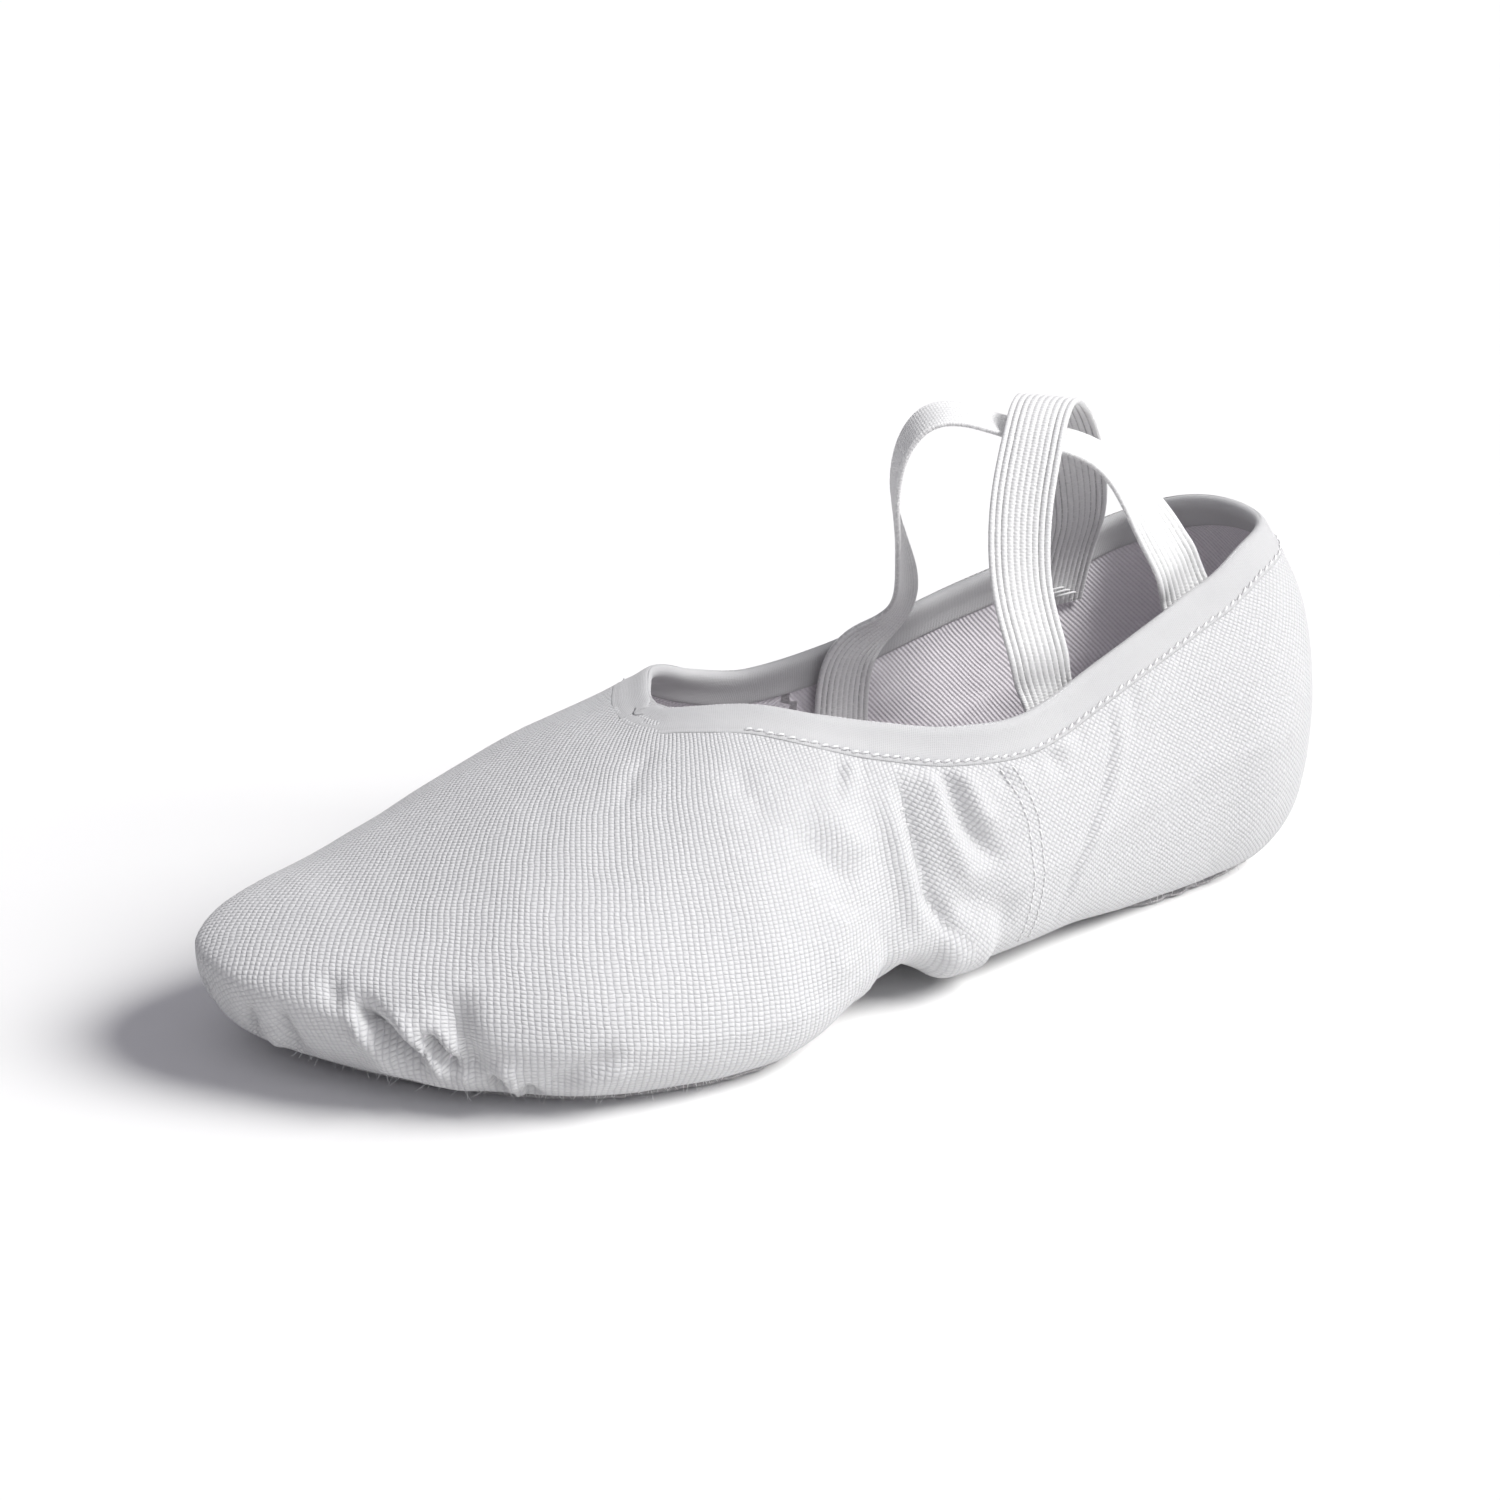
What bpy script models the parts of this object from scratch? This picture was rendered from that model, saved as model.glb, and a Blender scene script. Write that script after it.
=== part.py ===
"""Left split-sole canvas ballet shoe: a sewn upper, its collar binding, two sole pads, an insole
and two crossed elastics. Metres, +Z up, toe at -Y, heel at +Y, lateral side at +X, floor at z = 0.

The last is one function. A ring of columns runs round the plan outline, and each column climbs
from the underside, round the feather edge, past the widest line and on to the collar."""

import math

import bmesh
import bpy
import numpy as np

MM = 0.001

# Driving dimensions.
LENGTH = 250 * MM
BALL_WIDTH = 95 * MM
INSTEP_HEIGHT = 61 * MM
HEEL_HEIGHT = 70 * MM
ARCH_RISE = 6.0 * MM
TOE_SPRING = 5.0 * MM
UPPER_WALL = 1.5 * MM
OUTSOLE_THICKNESS = 1.8 * MM
INSOLE_THICKNESS = 1.2 * MM
BINDING_HEIGHT = 8.0 * MM
BINDING_THICKNESS = 3.0 * MM
ELASTIC_WIDTH = 12.7 * MM
ELASTIC_THICKNESS = 1.2 * MM
CLEARANCE = 0.3 * MM
BINDING_GAP = 0.8 * MM

# The last. Places along it are fractions of LENGTH from the toe.
LATERAL, MEDIAL = 1, -1
HALF_WIDTH = {
    LATERAL: ((0.0, 0.22), (0.12, 0.37), (0.25, 0.51), (0.35, 0.54), (0.44, 0.48), (0.50, 0.425),
              (0.60, 0.405), (0.72, 0.355), (0.85, 0.32), (1.0, 0.30)),
    MEDIAL: ((0.0, 0.42), (0.12, 0.45), (0.26, 0.475), (0.40, 0.40), (0.52, 0.32),
             (0.62, 0.29), (0.74, 0.315), (0.85, 0.325), (1.0, 0.33)),
}
TOE_SHIFT = -18 * MM
TOE_ROUND = 53 * MM
TOE_ROUNDNESS = 2.35
HEEL_ROUND = 34 * MM
HEEL_ROUNDNESS = 2.2
WIDEST_HEIGHT = ((0.0, 0.33), (0.16, 0.26), (0.40, 0.22), (0.60, 0.33), (0.80, 0.50), (1.0, 0.64))
TOP_HEIGHT = ((0.0, 0.44 * INSTEP_HEIGHT), (0.10, 0.52 * INSTEP_HEIGHT), (0.24, 0.75 * INSTEP_HEIGHT),
              (0.38, 0.97 * INSTEP_HEIGHT), (0.52, 1.14 * INSTEP_HEIGHT), (0.68, 1.13 * HEEL_HEIGHT),
              (0.84, 1.20 * HEEL_HEIGHT), (1.0, 1.22 * HEEL_HEIGHT))
TOE_TOP_REACH = 25 * MM
TOE_TOP_ROUNDNESS = 2.2
SECTION_ROUNDNESS = 2.2
RIDGE_SHIFT = -11 * MM
RIDGE_SHIFT_RISE = 40 * MM
COLLAR_ALIGNED = 0.68
THROAT_SPREAD = 0.3
COLLAR_REACH = {
    LATERAL: ((0.380, 0.0), (0.383, 0.07), (0.395, 0.15), (0.43, 0.33), (0.477, 0.57), (0.52, 0.70),
              (0.58, 0.81), (0.66, 0.87), (0.76, 0.845), (0.86, 0.79), (0.93, 0.73), (1.0, 0.70)),
    MEDIAL: ((0.380, 0.0), (0.383, 0.09), (0.395, 0.22), (0.43, 0.52), (0.477, 0.74), (0.53, 0.83),
             (0.58, 0.85), (0.68, 0.865), (0.84, 0.875), (0.92, 0.83), (1.0, 0.70)),
}

# The underside: how far the feather edge tucks in, where the two pads lie and how the margin laps.
TUCK = {
    LATERAL: ((0.0, 12.5), (0.15, 10.5), (0.32, 8.0), (0.44, 12.0), (0.495, 15.0), (0.545, 9.0),
              (0.80, 8.0), (1.0, 14.0)),
    MEDIAL: ((0.0, 12.5), (0.15, 10.0), (0.32, 9.0), (0.44, 10.0), (0.495, 12.0), (0.545, 9.0),
             (0.80, 8.0), (1.0, 14.0)),
}
TUCK_ROUNDNESS = 2.2
ARCH = ((0.455, 0.0), (0.500, 1.0), (0.555, 0.25), (0.68, 0.20), (0.755, 0.0))
MARGIN = 6.5 * MM
FOREFOOT_PAD = (0.030, 0.455)
HEEL_PAD = (0.755, 0.985)
PAD_LAP = 6.0 * MM

TOE_COLUMNS = 14
BODY_COLUMNS = 26
HEEL_COLUMNS = 9
UPPER_ROWS = 11
TUCK_ROWS = 4
BINDING_SIDES = 10
BINDING_SQUARENESS = 3.0
PAD_PROUD = 0.8 * MM
INSOLE_INSET = 2.0 * MM
INSOLE_GAP = 0.6 * MM
INSOLE_BRIDGE = 6.0 * MM
INSOLE_SPAN = (0.045, 0.975)
SOLE_ROWS = 26
SOLE_ACROSS = 3
PAD_BLUNT = 1.0 * MM

# The elastics. Each end is sewn to the inner wall: its side, its place / LENGTH and its length below
# the binding. Between them the route is (across / BALL_WIDTH, along / LENGTH, up / INSTEP_HEIGHT), and
# the tape's width lies along the direction given at shares of its length.
OVER_START = (LATERAL, 0.690, 12 * MM)
OVER_END = (MEDIAL, 0.846, 5 * MM)
OVER_ROUTE = ((0.235, 0.674, 1.03), (0.190, 0.667, 1.25), (0.147, 0.676, 1.49), (0.090, 0.702, 1.69),
              (0.026, 0.728, 1.775), (-0.040, 0.757, 1.745), (-0.105, 0.790, 1.60), (-0.165, 0.818, 1.39),
              (-0.225, 0.840, 1.15))
OVER_FLAT = ((0.0, (0.0, 1.0, 0)), (0.14, (0.05, 1.0, 0)), (0.30, (0.35, 0.94, 0)), (0.48, (0.76, 0.65, 0)),
             (0.68, (0.72, 0.69, 0)), (0.84, (0.2, 0.98, 0)), (1.0, (0.0, 1.0, 0)))
UNDER_START = (MEDIAL, 0.612, 12 * MM)
UNDER_END = (LATERAL, 0.850, 12 * MM)
UNDER_ROUTE = ((-0.215, 0.650, 0.94), (-0.195, 0.655, 1.06), (-0.170, 0.641, 1.24), (-0.137, 0.626, 1.49),
               (-0.115, 0.632, 1.67), (-0.095, 0.655, 1.755), (-0.055, 0.688, 1.715), (-0.010, 0.727, 1.65),
               (0.042, 0.765, 1.61), (0.085, 0.788, 1.53), (0.130, 0.806, 1.39), (0.178, 0.824, 1.22))
UNDER_FLAT = ((0.0, (-0.1, -1.0, 0)), (0.12, (-0.1, -1.0, 0)), (0.22, (0.6, -0.8, 0)), (0.32, (0.87, -0.5, 0)),
              (0.55, (0.89, -0.45, 0)), (0.70, (0.80, -0.6, 0)), (0.86, (0.15, -0.99, 0)), (1.0, (0.0, -1.0, 0)))
RIM_STAND = 3.0 * MM
ELASTIC_STATIONS = 44


def smooth_table(points, where):
    """A monotone cubic through the points, read at one place or an array of them."""
    xs, ys = np.array(points, float).T
    steps = np.diff(xs)
    slopes = np.diff(ys) / steps
    tangents = np.zeros(len(xs))
    tangents[0], tangents[-1] = slopes[0], slopes[-1]
    for i in range(1, len(xs) - 1):
        before, after = slopes[i - 1], slopes[i]
        if before * after > 0:
            tangents[i] = 2 * before * after / (before + after)
    where = np.clip(np.asarray(where, float), xs[0], xs[-1])
    k = np.clip(np.searchsorted(xs, where) - 1, 0, len(xs) - 2)
    s = (where - xs[k]) / steps[k]
    rise = steps[k]
    return ((1 + 2 * s) * (1 - s) ** 2 * ys[k] + s * (1 - s) ** 2 * rise * tangents[k]
            + s * s * (3 - 2 * s) * ys[k + 1] + s * s * (s - 1) * rise * tangents[k + 1])


def closure(distance, reach, roundness):
    """Rises from 0 at the end of a form to 1 at reach from it, along a superellipse."""
    rest = np.clip(1 - np.asarray(distance, float) / reach, 0, 1)
    return (1 - rest ** roundness) ** (1 / roundness)


def half_width(t, side):
    return BALL_WIDTH * smooth_table(HALF_WIDTH[side], t / LENGTH)


def centre(t):
    """The middle of the section at t, which swings to the medial side at the toe."""
    middle = (half_width(t, LATERAL) - half_width(t, MEDIAL)) / 2
    swing = np.clip(1 - t / TOE_ROUND, 0, 1) ** 2
    return middle * (1 - swing) + TOE_SHIFT * swing


def section_width(t):
    mean = (half_width(t, LATERAL) + half_width(t, MEDIAL)) / 2
    return mean * closure(t, TOE_ROUND, TOE_ROUNDNESS)


def widest_height(t):
    return INSTEP_HEIGHT * smooth_table(WIDEST_HEIGHT, t / LENGTH)


def last_top(t):
    """The top of the closed last: the instep's ridge, and above the collar a height that sets the lean."""
    return smooth_table(TOP_HEIGHT, t / LENGTH)


def crown(t):
    """How far the closed last rises above its widest line at t."""
    rise = last_top(t) - widest_height(t)
    return rise * closure(t, TOE_TOP_REACH, TOE_TOP_ROUNDNESS)


def underside(t):
    """The height of the canvas underside: on the pads, sprung at the toe and raised behind the pad."""
    seat = OUTSOLE_THICKNESS + CLEARANCE
    spring = TOE_SPRING * np.clip(1 - t / (0.18 * LENGTH), 0, 1) ** 2
    rise = ARCH_RISE * smooth_table(ARCH, t / LENGTH)
    return seat + spring + rise


def section_height(t, reach):
    """The height of the last's skin at t where it is reach times as far out as the widest line."""
    across = np.clip(np.abs(reach), 0, 1)
    return widest_height(t) + crown(t) * (1 - across ** SECTION_ROUNDNESS) ** (1 / SECTION_ROUNDNESS)


def collar_height(t, side):
    return section_height(t, smooth_table(COLLAR_REACH[side], t / LENGTH))


def ridge_shift(rise, t):
    """The ridge of the instep lies to the medial side of the middle."""
    full = np.clip(crown(t) / RIDGE_SHIFT_RISE, 0, 1)
    return RIDGE_SHIFT * full * rise / np.maximum(crown(t), 1e-6)


def column_places():
    """Each column of one side: its place t along the body, or its angle round the heel."""
    heel_start = LENGTH - HEEL_ROUND
    bend = 0.5 * math.pi * np.arange(TOE_COLUMNS) / TOE_COLUMNS
    toe = TOE_ROUND * (1 - np.cos(bend))
    body = np.linspace(TOE_ROUND, heel_start, BODY_COLUMNS, endpoint=False)
    angle = np.linspace(0, 0.5 * math.pi, HEEL_COLUMNS + 1)
    places = [(t, 0.0) for t in np.concatenate([toe, body])]
    return places + [(heel_start, a) for a in angle]


def widest_point(t, angle, side):
    """The plan point of the widest line."""
    radius_x = section_width(t)
    if angle == 0.0:
        return np.array([centre(t) + side * radius_x, t])
    turn = 2 / HEEL_ROUNDNESS
    return np.array([centre(t) + side * radius_x * max(math.cos(angle), 0.0) ** turn,
                     t + HEEL_ROUND * math.sin(angle) ** turn])


def ring():
    """The columns all round: toe, lateral side, heel, medial side."""
    places = column_places()
    around = [(t, a, LATERAL) for t, a in places] + [(t, a, MEDIAL) for t, a in places[-2:0:-1]]
    widest = np.array([widest_point(*column) for column in around])
    chord = np.roll(widest, -1, 0) - np.roll(widest, 1, 0)
    chord /= np.linalg.norm(chord, axis=1)[:, None]
    inward = np.stack([-chord[:, 1], chord[:, 0]], 1)
    return around, widest, inward


def resample(points, lengths):
    """Points at the given lengths along a polyline."""
    reach = np.concatenate([[0], np.cumsum(np.linalg.norm(np.diff(points, axis=0), axis=1))])
    return np.stack([np.interp(lengths, reach, points[:, i]) for i in range(3)], 1)


def arc_length(points):
    return np.linalg.norm(np.diff(points, axis=0), axis=1).sum()


def collar_curve(side):
    """The collar's edge of one side in plan, from the throat to where columns stand square to it."""
    throat = COLLAR_REACH[side][0][0]
    t = LENGTH * (throat + (COLLAR_ALIGNED - throat) * np.linspace(0, 1, 400) ** 2)
    return t, centre(t) + side * section_width(t) * smooth_table(COLLAR_REACH[side], t / LENGTH)


def collar_ends(side, outline):
    """Where each column of one side meets the collar's edge: even at the throat, square further back."""
    t, x = collar_curve(side)
    along = np.concatenate([[0], np.cumsum(np.hypot(np.diff(t), np.diff(x)))])
    steps = np.linalg.norm(np.diff(outline, axis=0), axis=1)
    around = np.concatenate([[0], np.cumsum(steps)])
    total = np.interp(COLLAR_ALIGNED * LENGTH, outline[:, 1], around)
    share = np.clip(around / total, 0, 1)
    power = (total / along[-1] - THROAT_SPREAD) / (1 - THROAT_SPREAD)
    place = along[-1] * (THROAT_SPREAD * share + (1 - THROAT_SPREAD) * share ** power)
    return np.interp(place, along, t), np.interp(place, along, x)


def climb(t, angle, side, widest, end):
    """The column from the widest line to the collar's edge, as a dense polyline."""
    if angle > 0.0 or t > COLLAR_ALIGNED * LENGTH:
        low, high = widest_height(t), collar_height(widest[1], side)
        z = low + (high - low) * np.linspace(0, 1, 120)
        inset = (1 - ((z - low) / crown(t)) ** SECTION_ROUNDNESS) ** (1 / SECTION_ROUNDNESS)
        axis = np.array([centre(t), t])
        plan = axis + (widest - axis) * inset[:, None]
        plan[:, 0] += ridge_shift(z - low, t) * math.cos(angle) ** 2
        return np.column_stack([plan, z])
    s = np.linspace(0, 1, 120) ** 2.4
    t_path = t + (end[0] - t) * s
    x_path = widest[0] + (end[1] - widest[0]) * s
    z_path = section_height(t_path, (x_path - centre(t_path)) / np.maximum(section_width(t_path), 1e-6))
    shift = ridge_shift(z_path - widest_height(t_path), t_path)
    return np.column_stack([x_path + shift, t_path, z_path])


def tuck(t, side, widest, inward, turns):
    """The column from the widest line down and under to the feather edge."""
    reach = smooth_table(TUCK[side], widest[1] / LENGTH) * MM
    low = underside(widest[1] + inward[1] * reach)
    high = widest_height(t)
    angle = 0.5 * math.pi * np.asarray(turns)
    power = 2 / TUCK_ROUNDNESS
    plan = widest + np.outer(reach * (1 - np.cos(angle) ** power), inward)
    return np.column_stack([plan, high - (high - low) * np.sin(angle) ** power])


def floor_point(widest, inward, side, inset):
    """A point of the underside, inset from the feather edge."""
    reach = smooth_table(TUCK[side], widest[1] / LENGTH) * MM + inset
    plan = widest + inward * reach
    return np.array([plan[0], plan[1], underside(plan[1])])


def placed(points):
    """From the last's frame (across, from the toe, up) to the shoe's, centred on the floor."""
    widest = ring()[1]
    middle = (widest.min(0) + widest.max(0)) / 2
    return np.asarray(points, float) - np.array([middle[0], middle[1], 0.0])


def side_columns():
    """Every column of the ring: (t, angle, side, widest, inward, climb, length under the binding)."""
    around, widest, inward = ring()
    half = len(column_places())
    ends = {}
    for side, outline in ((LATERAL, widest[:half]), (MEDIAL, np.vstack([widest[:1], widest[:half - 2:-1]]))):
        ends[side] = np.stack(collar_ends(side, outline), 1)
    climbs = []
    for i, (t, angle, side) in enumerate(around):
        end = ends[side][i if i < half else len(around) - i]
        climbs.append(climb(t, angle, side, widest[i], end))
    tops = np.array([path[-1] for path in climbs])
    along = np.roll(tops, -1, 0) - np.roll(tops, 1, 0)
    columns = []
    for i, (t, angle, side) in enumerate(around):
        rise = climbs[i][-1] - resample(climbs[i], [arc_length(climbs[i]) - BINDING_HEIGHT])[0]
        square = np.linalg.norm(np.cross(rise, along[i])) / np.linalg.norm(rise) / np.linalg.norm(along[i])
        columns.append((t, angle, side, widest[i], inward[i], climbs[i], BINDING_HEIGHT / square))
    return columns


def bare_object(name, collection, material):
    mesh = bpy.data.meshes.new(name)
    obj = bpy.data.objects.new(name, mesh)
    collection.objects.link(obj)
    mesh.materials.append(material)
    return obj


def strip_mesh(obj, rows, closed):
    """A sheet of quads through rows of points; a closed one joins its last row to its first."""
    build = bmesh.new()
    grid = [[build.verts.new(point) for point in row] for row in placed(rows)]
    pairs = list(zip(grid, grid[1:] + grid[:1])) if closed else list(zip(grid, grid[1:]))
    for near, far in pairs:
        for j in range(len(near) - 1):
            build.faces.new((near[j], far[j], far[j + 1], near[j + 1]))
    if closed:
        bmesh.ops.remove_doubles(build, verts=build.verts, dist=1e-5)
        bmesh.ops.recalc_face_normals(build, faces=build.faces)
    build.to_mesh(obj.data)
    build.free()
    obj.data.shade_smooth()


def solidify(obj, thickness, offset):
    wall = obj.modifiers.new("wall", "SOLIDIFY")
    wall.thickness = thickness
    wall.offset = offset
    wall.use_even_offset = True


def upper_rows(columns):
    """Each column from the margin's edge, round the feather edge and up to the binding."""
    turns = np.linspace(1, 0, TUCK_ROWS + 1)
    rows = []
    for t, angle, side, widest, inward, path, bound in columns:
        under = [floor_point(widest, inward, side, MARGIN)]
        top = arc_length(path) - bound * (1 + BINDING_GAP / BINDING_HEIGHT)
        share = np.linspace(0, 1, UPPER_ROWS + 1)[1:] ** 1.2
        rows.append(np.vstack([under, tuck(t, side, widest, inward, turns), resample(path, top * share)]))
    return rows


def make_upper(collection, material, columns):
    obj = bare_object("upper", collection, material)
    rows = upper_rows(columns)
    build = bmesh.new()
    grid = [[build.verts.new(point) for point in row] for row in placed(rows)]
    count = len(grid)
    for i in range(count):
        near, far = grid[i], grid[(i + 1) % count]
        for j in range(len(near) - 1):
            build.faces.new((near[j], far[j], far[j + 1], near[j + 1]))
    hole_ends = (FOREFOOT_PAD[1] * LENGTH - PAD_LAP, HEEL_PAD[0] * LENGTH + PAD_LAP)
    arch = [i for i, column in enumerate(columns)
            if column[1] == 0.0 and hole_ends[0] <= column[0] <= hole_ends[1]]
    spine = {}
    for i in arch:
        t = columns[i][0]
        middle = placed([(centre(t), t, underside(t))])[0]
        spine[i] = build.verts.new(middle)
    for i, j in zip(arch, arch[1:]):
        if j == i + 1:
            build.faces.new((spine[i], spine[j], grid[j][0], grid[i][0]))
    bmesh.ops.remove_doubles(build, verts=build.verts, dist=1e-5)
    bmesh.ops.recalc_face_normals(build, faces=build.faces)
    build.to_mesh(obj.data)
    build.free()
    obj.data.shade_smooth()
    solidify(obj, UPPER_WALL, -1)
    return obj


def make_binding(collection, material, columns):
    obj = bare_object("collar_binding", collection, material)
    edges = []
    for column in columns:
        total = arc_length(column[5])
        edges.append(resample(column[5], [total - column[6], total]))
    low, high = np.array(edges).transpose(1, 0, 2)
    mid = (low + high) / 2
    along = np.roll(mid, -1, 0) - np.roll(mid, 1, 0)
    along /= np.linalg.norm(along, axis=1)[:, None]
    up = high - low
    up -= (up * along).sum(1)[:, None] * along
    up /= np.linalg.norm(up, axis=1)[:, None]
    out = np.cross(along, up)
    middle = mid - out * UPPER_WALL / 2
    rows = []
    for k in range(BINDING_SIDES + 1):
        turn = 2 * math.pi * k / BINDING_SIDES
        a, b = math.cos(turn), math.sin(turn)
        flat = 2 / BINDING_SQUARENESS
        wide = math.copysign(abs(a) ** flat, a) * BINDING_THICKNESS / 2
        tall = math.copysign(abs(b) ** flat, b) * BINDING_HEIGHT / 2
        rows.append(middle + out * wide + up * tall)
    strip_mesh(obj, np.array(rows).transpose(1, 0, 2), True)
    return obj


def floor_outline(columns, inset):
    """The feather edge in plan, moved in by inset: (t, x) of the lateral and of the medial side."""
    sides = {}
    for wanted in (LATERAL, MEDIAL):
        points = [floor_point(widest, inward, wanted, inset)[:2] for t, angle, side, widest, inward, _, _ in columns
                  if side == wanted or t == 0.0 or angle == math.pi / 2]
        points = np.array(sorted(points, key=lambda p: p[1]))
        sides[wanted] = points
    return sides


def make_sole_sheet(name, collection, material, columns, inset, start, end, thickness, lift, bridge,
                    round_ends):
    """A pad or sock between start and end, sprung with the underside. It bridges folds shorter than bridge."""
    obj = bare_object(name, collection, material)
    sides = floor_outline(columns, inset)
    first = max(start * LENGTH, sides[LATERAL][0, 1], sides[MEDIAL][0, 1])
    last = min(end * LENGTH, sides[LATERAL][-1, 1], sides[MEDIAL][-1, 1])
    bend = 0.5 - 0.5 * np.cos(np.linspace(0, math.pi, SOLE_ROWS))
    rows = []
    for t in first + (last - first) * (0.5 * bend + 0.5 * np.linspace(0, 1, SOLE_ROWS)):
        outer = np.interp(t, sides[LATERAL][:, 1], sides[LATERAL][:, 0])
        inner = np.interp(t, sides[MEDIAL][:, 1], sides[MEDIAL][:, 0])
        middle, half = (outer + inner) / 2, (outer - inner) / 2
        if round_ends[0]:
            half *= closure(t - first + PAD_BLUNT, round_ends[0], 2.5)
        if round_ends[1]:
            half *= closure(last - t + PAD_BLUNT, round_ends[1], 2.5)
        height = underside(t + bridge * np.linspace(-1, 1, 9)).max() + lift
        rows.append([(middle + half * share, t, height) for share in np.linspace(1, -1, SOLE_ACROSS)])
    strip_mesh(obj, np.array(rows), False)
    solidify(obj, thickness, 1)
    return obj


def wall_point(t, side, height, inset):
    """A point on the inner side of the wall, inset from the canvas's outer face."""
    ratio = np.clip((height - widest_height(t)) / crown(t), 0, 1)
    reach = (1 - ratio ** SECTION_ROUNDNESS) ** (1 / SECTION_ROUNDNESS)
    x = centre(t) + side * (section_width(t) * reach - inset) + ridge_shift(height - widest_height(t), t)
    return np.array([float(x), t, height])


def sewn_end(side, share, length):
    """The stretch of an elastic that is sewn down inside the wall, from its end up past the rim."""
    t = share * LENGTH
    rim = float(collar_height(t, side))
    inset = UPPER_WALL + CLEARANCE + ELASTIC_THICKNESS
    below = rim - BINDING_HEIGHT
    return [wall_point(t, side, below - length, inset),
            wall_point(t, side, below - length / 2, inset),
            wall_point(t, side, below, inset + RIM_STAND / 2),
            wall_point(t, side, rim, inset + RIM_STAND)]


def smooth_route(points, count):
    """Evenly spaced points on a Catmull-Rom curve through the route."""
    points = np.array(points)
    ends = [2 * points[0] - points[1], *points, 2 * points[-1] - points[-2]]
    fine = []
    for a, b, c, d in zip(ends, ends[1:], ends[2:], ends[3:]):
        for s in np.linspace(0, 1, 16, endpoint=False):
            fine.append(0.5 * (2 * b + (c - a) * s + (2 * a - 5 * b + 4 * c - d) * s * s
                               + (3 * b - a - 3 * c + d) * s ** 3))
    fine.append(points[-1])
    fine = np.array(fine)
    return resample(fine, np.linspace(0, arc_length(fine), count))


def make_elastic(name, collection, material, start, route, end, flats):
    obj = bare_object(name, collection, material)
    scale = np.array([BALL_WIDTH, LENGTH, INSTEP_HEIGHT])
    points = sewn_end(*start) + [np.array(p) * scale for p in route] + sewn_end(*end)[::-1]
    middle = smooth_route(points, ELASTIC_STATIONS)
    along = np.gradient(middle, axis=0)
    along /= np.linalg.norm(along, axis=1)[:, None]
    shares = [share for share, _ in flats]
    turned = np.array([direction for _, direction in flats], float)
    place = np.linspace(0, 1, ELASTIC_STATIONS)
    flat = np.stack([np.interp(place, shares, turned[:, i]) for i in range(3)], 1)
    flat -= (flat * along).sum(1)[:, None] * along
    flat /= np.linalg.norm(flat, axis=1)[:, None]
    across = np.linspace(-0.5, 0.5, 4) * ELASTIC_WIDTH
    rows = middle[:, None] + flat[:, None] * across[None, :, None]
    strip_mesh(obj, rows, False)
    solidify(obj, ELASTIC_THICKNESS, 0)
    return obj


def make_material(name, colour, roughness):
    material = bpy.data.materials.new(name)
    material.use_nodes = True
    shader = material.node_tree.nodes["Principled BSDF"]
    shader.inputs["Base Color"].default_value = (*colour, 1)
    shader.inputs["Roughness"].default_value = roughness
    shader.inputs["Metallic"].default_value = 0.0
    return material


def main():
    for obj in list(bpy.data.objects):
        bpy.data.objects.remove(obj, do_unlink=True)
    shoe = bpy.data.collections.new("ballet_shoe")
    bpy.context.scene.collection.children.link(shoe)
    canvas = make_material("white_canvas", (0.80, 0.80, 0.81), 0.9)
    tape = make_material("cotton_tape", (0.82, 0.82, 0.83), 0.85)
    elastic = make_material("ribbed_elastic", (0.74, 0.74, 0.75), 0.7)
    suede = make_material("grey_suede", (0.42, 0.41, 0.42), 0.95)
    lining = make_material("sock_lining", (0.70, 0.68, 0.71), 0.9)

    columns = side_columns()
    make_upper(shoe, canvas, columns)
    make_binding(shoe, tape, columns)
    under_upper = -CLEARANCE - OUTSOLE_THICKNESS
    make_sole_sheet("forefoot_outsole", shoe, suede, columns, -PAD_PROUD, *FOREFOOT_PAD,
                    OUTSOLE_THICKNESS, under_upper, 0.0, (None, 16 * MM))
    make_sole_sheet("heel_outsole", shoe, suede, columns, -PAD_PROUD, *HEEL_PAD,
                    OUTSOLE_THICKNESS, under_upper, 0.0, (12 * MM, None))
    make_sole_sheet("insole", shoe, lining, columns, INSOLE_INSET, *INSOLE_SPAN,
                    INSOLE_THICKNESS, UPPER_WALL + INSOLE_GAP, INSOLE_BRIDGE, (None, None))
    make_elastic("elastic_strap_over", shoe, elastic, OVER_START, OVER_ROUTE, OVER_END, OVER_FLAT)
    make_elastic("elastic_strap_under", shoe, elastic, UNDER_START, UNDER_ROUTE, UNDER_END, UNDER_FLAT)


if __name__ == "__main__":
    main()
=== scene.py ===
"""The looks of a left split-sole canvas ballet shoe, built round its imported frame.

Metres, +Z up, toe at -Y, heel at +Y, lateral side at +X. The last is the same function as in the
model's source. A ring of columns runs round it, and a place on its skin is (around, up): how far round
the widest line from the toe, and how far up the wall from the feather edge, both in millimetres."""

import math

import bmesh
import bpy
import numpy as np
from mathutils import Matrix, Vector, noise


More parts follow.
